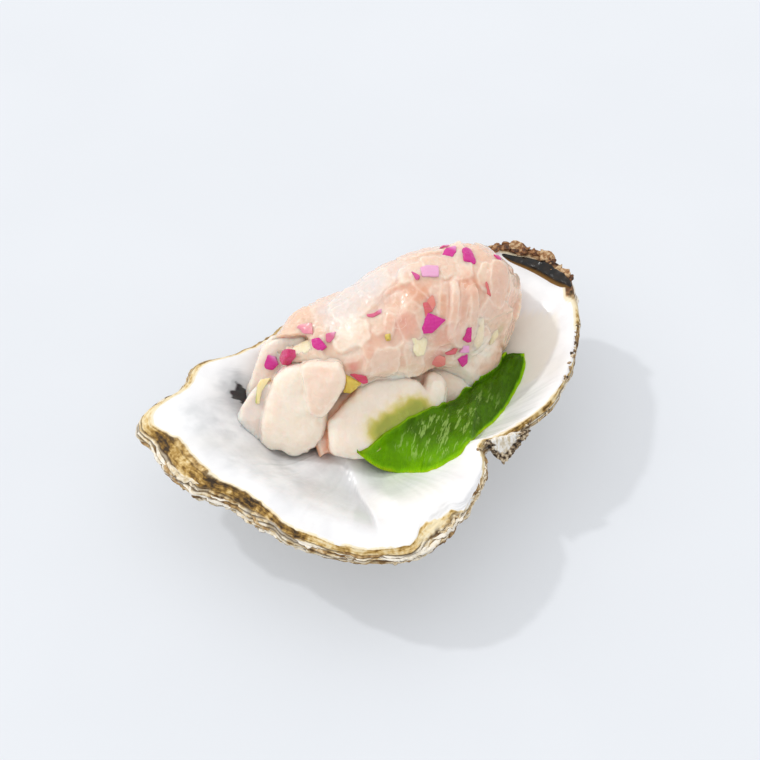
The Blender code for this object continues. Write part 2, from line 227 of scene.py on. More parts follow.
def tablet(outline, thick, bevel, crown=0.3, spacing=0.35):
    # a flat bit with a cut outline, soft edges and a slightly raised middle, lying in its own plane
    corners = np.array(outline, dtype=float)
    middle = corners.mean(axis=0)
    path = []
    for start, end in zip(corners, np.roll(corners, -1, axis=0)):
        steps = max(2, int(np.linalg.norm(end - start) / spacing))
        path += [start + (end - start) * step / steps for step in range(steps)]
    path = ease(np.array(path), 1)
    mean = np.linalg.norm(path - middle, axis=1).mean()
    half = thick / 2
    bevel = min(bevel, 0.45 * thick, 0.6 * mean)
    rings = []
    for turn in (0.0, 0.3, 0.6, 0.85, 1.0):
        angle = turn * math.pi / 2
        rings.append((bevel * (1 - math.cos(angle)), half - bevel + bevel * math.sin(angle)))
    rings = [(inset, -level) for inset, level in reversed(rings)] + rings
    rings = [(0.55 * mean, -half)] + rings + [(0.35 * mean, half + 0.5 * crown),
                                              (0.7 * mean, half + 0.9 * crown)]
    spots = []
    for inset, level in rings:
        ring = middle + (path - middle) * (1 - inset / mean)
        spots.append(np.column_stack([ring, np.full(len(path), level)]))
    count = len(path)
    faces = []
    for level in range(len(rings) - 1):
        for here in range(count):
            there = (here + 1) % count
            faces.append((level * count + here, level * count + there,
                          (level + 1) * count + there, (level + 1) * count + here))
    spots = np.vstack(spots + [[[*middle, -half]], [[*middle, half + crown]]])
    last = (len(rings) - 1) * count
    for here in range(count):
        there = (here + 1) % count
        faces.append((len(spots) - 2, there, here))
        faces.append((len(spots) - 1, last + here, last + there))
    return spots, faces


def outwardOf(piece):
    ways = np.empty(len(piece.data.vertices) * 3)
    piece.data.vertices.foreach_get("normal", ways)
    return ways.reshape(-1, 3)


def moveTo(piece, spots):
    piece.data.vertices.foreach_set("co", (spots * mm).ravel())
    piece.data.update()


def facing(normal, turn, toward=toRight):
    # axes of something lying on a surface: across, up and outward, turned by degrees
    outward = Vector(normal).normalized()
    across = toward - outward * toward.dot(outward)
    across.normalize()
    across = Matrix.Rotation(math.radians(turn), 3, outward) @ across
    return np.array([across, outward.cross(across), outward])


def closest(trees, spot):
    # nearest point and outward direction on any of several skins
    found = [tree.find_nearest(Vector(spot)) for tree in trees]
    found.sort(key=lambda hit: hit[3])
    return np.array(found[0][0]), np.array(found[0][1])


def dropOn(skin, x, y):
    # where a plumb line from high above first meets a skin
    return skin.ray_cast(Vector((x, y, highAbove)), Vector((0, 0, -1)))[0]


def heightsOver(plan, skins):
    # the height of the highest of some skins over each place of a plan
    level = np.zeros(plan.shape[:2])
    for here, there in np.ndindex(level.shape):
        hits = [dropOn(skin, *plan[here, there, :2]) for skin in skins]
        level[here, there] = max((hit.z for hit in hits if hit), default=0.0)
    return level


def welded(node):
    # a CAD node's own closed form, its doubled corners joined
    spots, index = np.unique(np.round(spotsOf(node), 3), axis=0, return_inverse=True)
    index = index.reshape(-1)
    faces = [tuple(int(index[corner]) for corner in face.vertices) for face in node.data.polygons]
    return spots, [face for face in faces if len(set(face)) == 3]


# shader helpers
def shade(red, green, blue):
    # a screen colour, 0 to 255, as the linear colour that shaders want
    made = []
    for part in (red, green, blue):
        part /= 255.0
        made.append(part / 12.92 if part <= 0.04045 else ((part + 0.055) / 1.055) ** 2.4)
    return (*made, 1.0)


def feed(tree, socket, value):
    if isinstance(value, bpy.types.NodeSocket):
        tree.links.new(value, socket)
    else:
        socket.default_value = value


def put(tree, kind, feeds=None, **settings):
    made = tree.nodes.new("ShaderNode" + kind)
    for key, value in settings.items():
        setattr(made, key, value)
    for key, value in (feeds or {}).items():
        feed(tree, made.inputs[key], value)
    return made


def mixColours(tree, share, first, second):
    return put(tree, "Mix", {0: share, 6: first, 7: second}, data_type="RGBA").outputs[2]


def mixValue(tree, share, first, second):
    return put(tree, "Mix", {0: share, 2: first, 3: second}, data_type="FLOAT").outputs[0]


def sums(tree, way, first, second=0.0):
    return put(tree, "Math", {0: first, 1: second}, operation=way).outputs[0]


def times(tree, first, second):
    return sums(tree, "MULTIPLY", first, second)


def plus(tree, first, second):
    return sums(tree, "ADD", first, second)


def minus(tree, first, second):
    return sums(tree, "SUBTRACT", first, second)


def spread(tree, value, low, high, toLow=0.0, toHigh=1.0):
    feeds = {0: value, 1: low, 2: high, 3: toLow, 4: toHigh}
    return put(tree, "MapRange", feeds, interpolation_type="SMOOTHSTEP").outputs[0]


def painted(tree, name):
    return put(tree, "Attribute", attribute_name=name).outputs["Fac"]


def paintedVector(tree, name):
    return put(tree, "Attribute", attribute_name=name).outputs["Vector"]


def place(tree):
    # object coordinates in millimetres
    spot = put(tree, "TexCoord").outputs["Object"]
    return put(tree, "VectorMath", {0: spot, "Scale": 1000.0}, operation="SCALE").outputs[0]


def ramp(tree, value, stops):
    made = put(tree, "ValToRGB", {0: value})
    row = made.color_ramp.elements
    while len(row) < len(stops):
        row.new(0.5)
    for element, (position, colour) in zip(row, stops):
        element.position = position
        element.color = shade(*colour)
    return made.outputs[0]


def startGroup(name, inputs, outputs):
    group = bpy.data.node_groups.new(name, "ShaderNodeTree")
    kinds = {"vector": "NodeSocketVector", "value": "NodeSocketFloat", "colour": "NodeSocketColor"}
    for label, kind, value in inputs:
        socket = group.interface.new_socket(name=label, in_out="INPUT", socket_type=kinds[kind])
        if value is not None:
            socket.default_value = value
    for label, kind in outputs:
        group.interface.new_socket(name=label, in_out="OUTPUT", socket_type=kinds[kind])
    enter = group.nodes.new("NodeGroupInput")
    leave = group.nodes.new("NodeGroupOutput")
    return group, enter.outputs, leave.inputs


def use(tree, group, feeds):
    made = tree.nodes.new("ShaderNodeGroup")
    made.node_tree = group
    for key, value in feeds.items():
        feed(tree, made.inputs[key], value)
    return made.outputs


def startFinish(name, sockets):
    finish = bpy.data.materials.new(name)
    finish.use_nodes = True
    shader = finish.node_tree.nodes["Principled BSDF"]
    for key, value in sockets.items():
        shader.inputs[key].default_value = value
    return finish, finish.node_tree, shader


def raiseBy(tree, shader, height, strength, distance):
    bump = put(tree, "Bump", {"Height": height, "Strength": strength, "Distance": distance})
    tree.links.new(bump.outputs[0], shader.inputs["Normal"])


# soft patches of any size, as a value between 0 and 1
clouds, groupIn, groupOut = startGroup(
    "clouds",
    [("Place", "vector", None), ("Size", "value", 4.0), ("Detail", "value", 3.0),
     ("Low", "value", 0.35), ("High", "value", 0.65)],
    [("Amount", "value")])
sized = put(clouds, "VectorMath", {0: groupIn["Place"]}, operation="SCALE")
clouds.links.new(put(clouds, "Math", {0: 1.0, 1: groupIn["Size"]}, operation="DIVIDE").outputs[0],
                 sized.inputs["Scale"])
patches = put(clouds, "TexNoise", {"Vector": sized.outputs[0], "Scale": 1.0, "Detail": groupIn["Detail"]})
edges = put(clouds, "MapRange", {0: patches.outputs[0], 1: groupIn["Low"], 2: groupIn["High"]},
            interpolation_type="SMOOTHSTEP")
clouds.links.new(edges.outputs[0], groupOut["Amount"])


def cloudy(tree, spot, size, low=0.35, high=0.65, detail=3.0):
    feeds = {"Place": spot, "Size": size, "Detail": detail, "Low": low, "High": high}
    return use(tree, clouds, feeds)["Amount"]


# the uneven shine and the fine relief of something wet
wetSkin, groupIn, groupOut = startGroup(
    "wet_skin",
    [("Place", "vector", None), ("Grain", "value", 0.8), ("Shiny", "value", 0.15), ("Dull", "value", 0.35)],
    [("Roughness", "value"), ("Height", "value")])
broad = cloudy(wetSkin, groupIn["Place"], 3.5, 0.3, 0.7)
fine = cloudy(wetSkin, groupIn["Place"], groupIn["Grain"], 0.2, 0.8, detail=4.0)
shine = put(wetSkin, "MapRange", {0: broad, 3: groupIn["Shiny"], 4: groupIn["Dull"]})
wetSkin.links.new(shine.outputs[0], groupOut["Roughness"])
wetSkin.links.new(plus(wetSkin, times(wetSkin, fine, 0.35), broad),
                  groupOut["Height"])


def wetten(tree, shader, spot, grain, shiny, dull):
    # gives a finish the uneven shine of something wet, and gives back its relief
    wet = use(tree, wetSkin, {"Place": spot, "Grain": grain, "Shiny": shiny, "Dull": dull})
    feed(tree, shader.inputs["Roughness"], wet["Roughness"])
    return wet["Height"]


# fine lines that run round the shell, from its painted flow lines
growthLines, groupIn, groupOut = startGroup(
    "growth_lines",
    [("Flow", "vector", None), ("Width", "value", 1.0)],
    [("Tone", "value"), ("Height", "value")])
coarse = cloudy(growthLines, groupIn["Flow"], groupIn["Width"], 0.3, 0.7, detail=5.0)
hair = cloudy(growthLines, groupIn["Flow"], times(growthLines, groupIn["Width"], 0.3), 0.3, 0.7)
together = plus(growthLines, times(growthLines, coarse, 0.65),
                times(growthLines, hair, 0.35))
growthLines.links.new(together, groupOut["Tone"])
growthLines.links.new(together, groupOut["Height"])


# thin curling lines, as on the skins between pieces of flesh
filaments, groupIn, groupOut = startGroup(
    "filaments", [("Place", "vector", None), ("Size", "value", 5.0), ("Fineness", "value", 0.012)],
    [("Amount", "value")])
drift = put(filaments, "VectorMath", {0: groupIn["Place"]}, operation="SCALE")
filaments.links.new(put(filaments, "Math", {0: 1.0, 1: groupIn["Size"]}, operation="DIVIDE").outputs[0],
                    drift.inputs["Scale"])
field = put(filaments, "TexNoise", {"Vector": drift.outputs[0], "Scale": 1.0, "Detail": 2.5})
offLine = sums(filaments, "ABSOLUTE", minus(filaments, field.outputs[0], 0.5))
line = put(filaments, "MapRange", {0: offLine, 1: 0.0, 2: groupIn["Fineness"], 3: 1.0, 4: 0.0},
           interpolation_type="SMOOTHSTEP")
broken = cloudy(filaments, groupIn["Place"], 3.0, 0.45, 0.6)
filaments.links.new(times(filaments, line.outputs[0], broken), groupOut["Amount"])


# the shell
shellForm = {
    "around": 640, "inside": 34, "edge": 56, "growths": 11,
    "sheets": 6.0,  # thin layers seen on the edge
    "foldFrom": (-16.8, 4.7), "foldTo": (-39.3, -30.0), "foldLift": 0.7,
    "foldBow": ((0.0, 0.16, 0.36, 0.62, 0.84, 1.0), (0.0, 1.05, 1.55, 1.1, 0.2, 0.0)),
    "pool": ((37.8, -7.9), (40.7, -15.2), (38.0, -19.2), (33.8, -21.5), (28.4, -22.3), (24.1, -22.0),
             (20.0, -14.0), (26.0, -6.0)),
    "mottled": ((0, 0.0), (60, 0.1), (110, 0.5), (150, 0.8), (185, 0.7), (205, 0.2), (225, 0.0),
                (300, 0.0)),
    # how far the brown rind reaches over the lip on to the inside: angle, mm
    "rind": ((-30, 0.1), (-20, 1.6), (-14, 2.8), (0, 3.0), (7, 1.8), (14, 0.5), (60, 0.55), (112, 0.4),
             (140, 0.5), (150, 1.5), (158, 2.1), (166, 1.4), (178, 0.5), (200, 0.3), (228, 0.2),
             (236, -0.8), (243, -2.0), (258, -2.2), (266, -1.0), (272, 0.2), (284, 1.0), (300, 1.0),
             (316, -0.4), (325, -0.6)),
    # how dark the rind is round the lip: angle, share
    "shadeRound": ((0, 0.4), (30, 0.5), (120, 0.35), (138, 0.15), (146, 0.75), (172, 1.0), (196, 0.85),
                   (212, 0.5), (230, 0.15), (262, 0.1), (282, 0.4), (300, 0.75), (318, 0.2), (332, 0.65),
                   (345, 0.15)),
    "scar": (-24.5, 26.0, 20.3),
    # where the floor of the cup stands higher, under the slices: place, mm, radius
    "rise": ((-19.5, 2.5), 4.0, 13.0),
}


def readShell(skin):
    # measures the CAD shell along level rays from the middle of the cup, every 2 degrees
    down = Vector((0, 0, -1))
    up = Vector((0, 0, 1))
    shares = np.linspace(0.0, 1.0, 40)
    lips = []
    insides = []
    outsides = []
    for angle in np.radians(np.arange(0, 360, 2)):
        across = np.array([math.cos(angle), math.sin(angle)])

        def strike(radius, height, way):
            spot = cupMiddle + across * radius
            hit = skin.ray_cast(Vector((spot[0], spot[1], height)), way)[0]
            return None if hit is None else hit.z

        near, far = 15.0, 80.0
        for _ in range(20):
            half = (near + far) / 2
            if strike(half, -10.0, up) is None:
                far = half
            else:
                near = half
        steps = near - np.linspace(0.02, 7.5, 60)
        tops = [strike(step, 90.0, down) or 0.0 for step in steps]
        best = int(np.argmax(tops))
        reach = steps[best]
        under = strike(reach + 0.75 * (near - reach), -10.0, up)
        lips.append((reach, tops[best], near - reach, (tops[best] - under) / 0.9))
        insides.append([strike(0.998 * share * reach, 90.0, down) for share in shares])
        start = reach + 0.6 * (near - reach)
        outsides.append([strike(0.998 * start * (1.0 - share), -10.0, up) for share in shares])
    count = shellForm["around"]
    lips = goRound(ease(np.array(lips), 1), count)
    insides = ease(ease(np.array(insides), 1), 2, 1, closed=False)
    outsides = ease(ease(np.array(outsides), 2), 5, 1, closed=False)
    return lips, goRound(insides, count), goRound(outsides, count), shares


def alongRows(table, shares, wanted):
    # reads each row of a table at its own wanted shares
    return np.array([np.interp(want, shares, row) for want, row in zip(wanted, table)])


def roundLip(name, degrees):
    # a value that is given for some angles round the lip
    return np.interp(degrees, *zip(*shellForm[name]), period=360)


def readLip(skin):
    # the lip all round: its place, how far its edge stands out, how deep it is and how far the rind comes in
    lips, insides, outsides, shares = readShell(skin)
    count = shellForm["around"]
    angles = np.arange(count) * 2 * math.pi / count
    across = np.stack([np.cos(angles), np.sin(angles)], axis=1)
    reach, height, standOut, depth = lips.T
    ring = np.column_stack([45 * across, np.zeros(count)])  # a walk round the lip, in mm
    heavy = np.clip(0.13 * (standOut + depth), 0.22, 0.95)  # how bold the edge is here
    wobble = 0.35 * ripple(ring, 6.0, 1) + 0.22 * ripple(ring, 2.0, 2) + 0.10 * ripple(ring, 0.8, 3)
    return SimpleNamespace(
        insides=insides, outsides=outsides, shares=shares, degrees=np.degrees(angles), across=across,
        ring=ring,
        cadReach=reach, reach=reach + wobble * (0.6 + heavy),
        height=height + 0.18 * ripple(ring, 3.0, 4) * (0.5 + heavy),
        standOut=standOut, depth=depth, heavy=heavy, rind=roundLip("rind", np.degrees(angles)))


def fromMiddle(lip, radius, level):
    # places from how far they lie from the middle of the cup, and how high
    return np.dstack([cupMiddle[0] + radius * lip.across[:, :1], cupMiddle[1] + radius * lip.across[:, 1:],
                      level])


def shellInside(lip):
    # from the middle of the cup out to the lip
    form = shellForm
    steps = (np.arange(1, form["inside"] + 1) / form["inside"]) ** 0.85
    radius = lip.reach[:, None] * steps[None]
    level = alongRows(lip.insides, lip.shares, np.tile(steps, (form["around"], 1)))
    level += (lip.height - level[:, -1])[:, None] * smooth(0.9, 1.0, steps)[None]
    spots = fromMiddle(lip, radius, level)
    spots[..., 2] += creaseLift(spots[..., :2]) * (1 - smooth(0.93, 1.0, steps))[None]
    middle, height, widest = form["rise"]
    spots[..., 2] += height * (1 - smooth(2.0, widest, np.linalg.norm(spots[..., :2] - middle, axis=2)))
    spots[..., 2] += 0.10 * ripple(spots, 9.0, 5) * (1 - smooth(0.9, 1.0, steps))[None]
    fromLip = lip.reach[:, None] - radius
    flaky = smooth(0.0, 0.5, lip.rind[:, None] + 0.22 * ripple(spots, 1.2, 6) - fromLip)
    crumble = (0.16 + 0.35 * (lip.rind[:, None] > 1.4)) * ripple(spots * (1, 1, 0.3), 1.3, 7, 3)
    spots[..., 2] += flaky * crumble
    return SimpleNamespace(spots=spots, radius=radius, fromLip=fromLip, flaky=flaky)


def shellEdge(lip):
    # the layered edge, from the lip down to its underside
    ring = lip.ring
    heavy = lip.heavy[:, None]
    turn = np.linspace(0, 1, shellForm["edge"] + 1)[1:]
    stops = (0, 0.34, 0.55, 0.80, 1.0)
    out, fall = (ease(np.interp(turn, stops, values)[None], 2, 1, closed=False)
                 for values in ((0, 0.62, 1.0, 0.85, 0.60), (0, 0.28, 0.55, 0.90, 1.0)))
    radius = lip.reach[:, None] + lip.standOut[:, None] * out
    level = lip.height[:, None] - lip.depth[:, None] * fall
    frill = 0.55 * ripple(ring, 7.0, 8) + 0.35 * ripple(ring, 2.6, 9)
    frilled = smooth(0.1, 0.45, turn) * (1 - smooth(0.85, 1.0, turn))
    radius += frill[:, None] * (0.25 + heavy) * frilled[None]
    slopeOut = np.gradient(radius, axis=1)
    slopeFall = np.gradient(level, axis=1)
    length = np.hypot(slopeOut, slopeFall) + 1e-6

    # thin sheets one under another, each worn and chipped in its own way
    walk = np.broadcast_to(ring[:, None, :2], (*radius.shape, 2))
    wander = 1.5 * ripple(ring, 13.0, 10) + 0.6 * ripple(ring, 4.5, 11) + 0.25 * ripple(ring, 1.6, 47)
    layer = shellForm["sheets"] * (turn[None] - 0.30) / 0.66 + wander[:, None]
    within = layer - np.floor(layer)
    which = np.dstack([walk, 37.0 * np.floor(layer)])
    onSheets = smooth(0.27, 0.36, turn)[None]
    proud = 0.55 + 0.6 * ripple(which, 5.0, 12) + 0.35 * ripple(which, 1.7, 13)
    chips = smooth(0.05, 0.2, ripple(which, 3.4, 14, 2))
    lamella = smooth(0.0, 0.22, within) * (1 - smooth(0.72, 1.0, within))
    bulge = heavy * (lamella * proud * (1 - 0.8 * chips) - 0.25)
    streaky = np.dstack([walk / 6.0, np.broadcast_to(turn * 9.0, radius.shape)])
    bevelRelief = 0.20 * heavy * ripple(streaky, 0.55, 15, 3)
    push = onSheets * bulge + (1 - onSheets) * bevelRelief * smooth(0.0, 0.06, turn)[None]
    push *= (1 - smooth(0.93, 1.0, turn))[None]
    spots = fromMiddle(lip, radius - push * slopeFall / length, level + push * slopeOut / length)

    # painted shade: dark in the grooves between the sheets and where they are chipped
    grooveShade = onSheets * (1 - smooth(0.0, 0.3, within) * (1 - smooth(0.68, 1.0, within)))
    return SimpleNamespace(
        spots=spots, turn=turn, walk=walk, grooveShade=np.clip(grooveShade + onSheets * chips * 0.6, 0, 1),
        bevel=1 - smooth(0.28, 0.42, turn + 0.05 * wander[:, None]),
        sheetTone=0.5 + 0.9 * ripple(which, 7.0, 19) + 0.4 * ripple(which, 2.0, 20))


def shellOutside(lip, under):
    # growth layers whose free margins face the rim, down from the underside of the edge
    ring = lip.ring
    count = shellForm["around"]
    rows = []
    ledges = []
    for number in range(shellForm["growths"]):
        begin = growthLine(number, ring)
        end = growthLine(number + 1, ring)
        for part, ledge in ((0.0, 0.05), (0.10, 1.0), (0.22, 0.92), (0.48, 0.62), (0.74, 0.32)):
            rows.append(begin + (end - begin) * part)
            ledges.append(np.full(count, ledge))
    rows.append(growthLine(shellForm["growths"], ring))
    rows.append(0.5 + 0.5 * rows[-1])
    ledges += [np.zeros(count)] * 2
    gone = np.clip(np.array(rows).T, 0.012, 0.995)
    ledges = np.array(ledges).T
    radius = (lip.cadReach + 0.6 * lip.standOut)[:, None] * (1 - gone)
    level = alongRows(lip.outsides, lip.shares, gone)
    level += (under - level[:, 0])[:, None] * (1 - smooth(0.0, 0.12, gone))
    spots = fromMiddle(lip, radius, level)
    tall = 0.55 + 0.5 * ripple(spots, 12.0, 16) + 0.35 * ripple(spots, 3.0, 17)
    tall = np.clip(tall * (1 - smooth(0.75, 0.95, gone)), 0.05, 1.2) * smooth(0.0, 0.06, gone)
    lift = 1.15 * ledges * tall
    walk = np.repeat(ring[:, None, :2], gone.shape[1], axis=1)
    flute = 0.35 * ripple(np.dstack([walk, 3.0 * gone]), 2.2, 18) * (1 - smooth(0.5, 0.9, gone))
    spots[..., :2] += lip.across[:, None] * (lift * 0.8 + flute)[..., None]
    spots[..., 2] = np.maximum(spots[..., 2] - (lift * 0.7 + flute * 0.5), 0.0)
    return SimpleNamespace(spots=spots, gone=gone, ledges=ledges)


def shellTones(lip, inner, edge, outer):
    # what the shell's colours are worked out from, over its inside, its edge and its outside
    form = shellForm
    count = form["around"]
    sizes = [part.spots.shape[1] for part in (inner, edge, outer)]
    plan = inner.spots[..., :2]
    turn = edge.turn
    gone = outer.gone

    def over(*values):
        return np.hstack([np.broadcast_to(value, (count, size)) for value, size in zip(values, sizes)])

    below = turn[None] * 0.85 * (lip.standOut + lip.depth)[:, None]  # mm down the edge from the lip
    rough = 0.35 * ripple(np.dstack([edge.walk, below]), 1.4, 48, 2) * smooth(0.2, -0.6, lip.rind)[:, None]
    onEdge = smooth(0.0, 0.5, below + np.minimum(lip.rind, 0.1)[:, None] + rough + 0.35)
    dark = np.clip(roundLip("shadeRound", lip.degrees) + 0.35 * ripple(lip.ring, 5.0, 49, 2), 0, 1)[:, None]
    beyond, present = besideCrease(plan)
    # painted shade: grey on the side of the fold turned from the light, fading away from the fold and fading
    # out near its start
    foldShade = present * (1 - smooth(-0.25, 0.15, beyond)) * np.exp(-np.clip(-beyond, 0, 30) / 4.5)
    foldShade = foldShade * smooth(5.0, 15.0, np.linalg.norm(plan - form["foldFrom"], axis=2))
    mottled = roundLip("mottled", lip.degrees)[:, None]
    mottled = mottled * smooth(2.0, 9.0, inner.fromLip) * smooth(4.0, 16.0, inner.radius)
    pool = insideBy(curveThrough([*form["pool"], form["pool"][0]], 80)[:-1],
                    plan.reshape(-1, 2)).reshape(count, -1)
    # painted shade in the groove where one growth layer meets the next on the outside
    rim = (outer.ledges < 0.2) * smooth(0.02, 0.1, gone) * (1 - smooth(0.7, 0.9, gone))
    degrees = (lip.degrees + 180) % 360 - 180
    hinge = (smooth(-24, -17, degrees) * (1 - smooth(5, 12, degrees)))[:, None]
    apart = np.linalg.norm((inner.spots - np.array(form["scar"])) * (1.0, 1.0, 0.6), axis=2)
    apart = apart + 1.6 * ripple(inner.spots, 2.4, 22, 2)
    tone = {
        "band": over(inner.flaky, onEdge, 1.0),
        "dark": over(dark, dark * (1 - 0.75 * smooth(0.3, 0.45, turn)), 0.3),
        "foldShade": over(foldShade, 0.0, 0.0),
        "mottled": over(mottled, 0.0, 0.0),
        "pool": over(smooth(-0.5, 0.5, pool + 0.5 * ripple(inner.spots, 3.0, 50)), 0.0, 0.0),
        "bevel": over(inner.flaky * 0.9, edge.bevel, 0.0),
        "sheetTone": over(0.45, edge.sheetTone, 0.5 + 0.8 * ripple(outer.spots, 6.0, 21)),
        "grooveShade": over(0.0, edge.grooveShade, rim),
        "outside": over(0.0, smooth(0.9, 1.0, turn), 1.0),
        "hinge": over(hinge * smooth(4.0, 1.0, inner.fromLip), hinge, hinge * (1 - smooth(0.1, 0.3, gone))),
        "scar": over(np.interp(apart, (1.9, 2.5, 3.2, 7.5), (1.0, 0.5, 0.4, 0.0)), 0.0, 0.0),
    }
    outward = over(inner.radius * 0.25, turn * 9.0 + 30, gone * 60 + 50)
    walk = np.repeat(lip.ring[:, None, :2], outward.shape[1], axis=1)
    return tone, np.dstack([walk / 5.0, outward])


def growthLine(number, ring):
    even = 0.015 + 0.80 * (number / shellForm["growths"]) ** 1.15
    return even * (1.0 + 0.10 * ripple(ring, 20.0, 30 + number)) + 0.012 * ripple(ring, 4.0, 60 + number)


def besideCrease(plan):
    # how far each place lies to the hinge side of the sharp fold, in mm, and how strong the fold is there
    # the fold runs from under the food to the front of the lip
    start = np.array(shellForm["foldFrom"])
    end = np.array(shellForm["foldTo"])
    length = np.linalg.norm(end - start)
    along = (end - start) / length
    offset = plan - start
    gone = (offset @ along) / length
    beyond = offset[..., 0] * -along[1] + offset[..., 1] * along[0] - np.interp(gone, *shellForm["foldBow"])
    present = smooth(-0.05, 0.2, gone) * (1 - smooth(0.7, 1.0, gone))
    return beyond, present


def creaseLift(plan):
    beyond, present = besideCrease(plan)
    step = smooth(-0.45, 0.35, beyond) * (1 - smooth(1.0, 11.0, beyond))
    hollow = np.exp(-((np.minimum(beyond + 0.4, 0) / 4.5) ** 2)) * (beyond < 0.3)
    return shellForm["foldLift"] * present * (step - 0.55 * hollow * (1 - smooth(-0.45, 0.35, beyond)))


def makeShell(skin, finish):
    lip = readLip(skin)
    inner = shellInside(lip)
    edge = shellEdge(lip)
    outer = shellOutside(lip, edge.spots[:, -1, 2])
    tone, flow = shellTones(lip, inner, edge, outer)
    spots = np.concatenate([inner.spots, edge.spots, outer.spots], axis=1)
    count, rings = spots.shape[:2]
    top = spots[:, 0].mean(axis=0)
    foot = spots[:, -1].mean(axis=0)
    everything = np.vstack([spots.reshape(-1, 3), top, foot])
    faces = []
    for here in range(count):
        there = (here + 1) % count
        faces.append((count * rings, here * rings, there * rings))
        faces.append((count * rings + 1, there * rings + rings - 1, here * rings + rings - 1))
        faces += [(here * rings + step, here * rings + step + 1, there * rings + step + 1,
                   there * rings + step)
                  for step in range(rings - 1)]
    piece = bare("shell_valve", everything, faces)
    for name, values in tone.items():
        paint(piece, name, np.append(values.reshape(-1), [values[:, 0].mean(), values[:, -1].mean()]))
    paint(piece, "flow", np.vstack([flow.reshape(-1, 3), flow[0, 0], flow[0, -1]]))
    return register(piece, finish, ["shell"])


def nacreColour(tree, spot, wide):
    # the white inside, with its grey patches, painted shade beside the fold, pool and scar
    scar = painted(tree, "scar")
    mottled = times(tree, painted(tree, "mottled"), plus(tree, times(tree, wide, 0.7), 0.3))
    colour = mixColours(tree, cloudy(tree, spot, 11.0, 0.35, 0.75), shade(246, 246, 247),
                        shade(232, 232, 234))
    for share, tint in (
            (mottled, shade(204, 206, 208)),
            (times(tree, cloudy(tree, spot, 16.0, 0.45, 0.8, detail=1.0), 0.35), shade(240, 234, 222)),
            # painted shade beside the fold
            (times(tree, painted(tree, "foldShade"), 0.8), shade(196, 197, 199)),
            (times(tree, painted(tree, "pool"), 0.85), shade(243, 239, 230)),
            (spread(tree, scar, 0.0, 0.5), shade(182, 185, 188)),
            (spread(tree, scar, 0.5, 0.85), shade(44, 46, 48))):
        colour = mixColours(tree, share, colour, tint)
    return colour


def rindColour(tree, lines, fine, wide):
    # the brown rind of the lip, the layers of the edge, the outside, the rusty hinge and painted shade in the
    # grooves
    patchy = plus(tree, plus(tree, times(tree, lines, 0.35), times(tree, wide, 0.3)),
                  times(tree, fine, 0.3))
    patchy = minus(tree, plus(tree, patchy, 0.26), times(tree, painted(tree, "dark"), 0.40))
    brown = ramp(tree, patchy, [(0.10, (54, 36, 10)), (0.28, (118, 86, 28)), (0.44, (176, 138, 66)),
                                (0.6, (222, 192, 130)), (0.8, (240, 224, 184))])
    sheet = plus(tree, times(tree, painted(tree, "sheetTone"), 0.6), times(tree, lines, 0.4))
    sheet = minus(tree, plus(tree, sheet, times(tree, fine, 0.2)), 0.08)
    layers = ramp(tree, sheet, [(0.2, (108, 76, 34)), (0.36, (180, 144, 88)),
                                (0.5, (226, 206, 166)), (0.72, (246, 238, 222))])
    outer = ramp(tree, sheet, [(0.15, (110, 92, 72)), (0.4, (168, 152, 130)),
                               (0.6, (212, 203, 186)), (0.85, (235, 231, 222))])
    rust = ramp(tree, plus(tree, times(tree, lines, 0.5), times(tree, fine, 0.5)),
                [(0.2, (40, 24, 14)), (0.45, (106, 66, 38)),
                 (0.62, (150, 108, 68)), (0.85, (206, 178, 140))])
    colour = mixColours(tree, painted(tree, "bevel"), layers, brown)
    colour = mixColours(tree, painted(tree, "outside"), colour, outer)
    colour = mixColours(tree, painted(tree, "hinge"), colour, rust)
    # painted shade: dark brown in the grooves
    return mixColours(tree, times(tree, painted(tree, "grooveShade"), 0.85), colour, shade(70, 48, 26))


def makeShellFinish():
    finish, tree, shader = startFinish("nacre_and_rind", {"IOR": 1.5})
    spot = place(tree)
    band = painted(tree, "band")
    fine = cloudy(tree, spot, 1.1, 0.25, 0.75, detail=4.0)
    wide = cloudy(tree, spot, 4.5, 0.3, 0.7)
    lines = use(tree, growthLines, {"Flow": paintedVector(tree, "flow"), "Width": 1.1})
    nacre = nacreColour(tree, spot, wide)
    line = mixColours(tree, spread(tree, band, 0.12, 0.4), nacre, shade(238, 226, 196))
    rind = rindColour(tree, lines["Tone"], fine, wide)
    feed(tree, shader.inputs["Base Color"], mixColours(tree, spread(tree, band, 0.5, 0.85), line, rind))
    shiny = put(tree, "MapRange", {0: band, 3: 0.27, 4: 0.72}).outputs[0]
    shiny = mixValue(tree, painted(tree, "pool"), shiny, 0.08)
    shiny = mixValue(tree, spread(tree, painted(tree, "scar"), 0.5, 0.9), shiny, 0.1)
    feed(tree, shader.inputs["Roughness"], shiny)
    soft = use(tree, wetSkin, {"Place": spot, "Grain": 1.4})
    raiseBy(tree, shader, mixValue(tree, band, times(tree, soft["Height"], 0.12), lines["Height"]), 0.55,
            0.0004)
    return finish


flakeForm = {
    "count": 105, "thick": 0.26,
    # angles between which the flakes lie, and how many share each stretch
    "stretches": ((140, 215, 0.42), (215, 285, 0.40), (300, 345, 0.10), (20, 130, 0.08)),
}


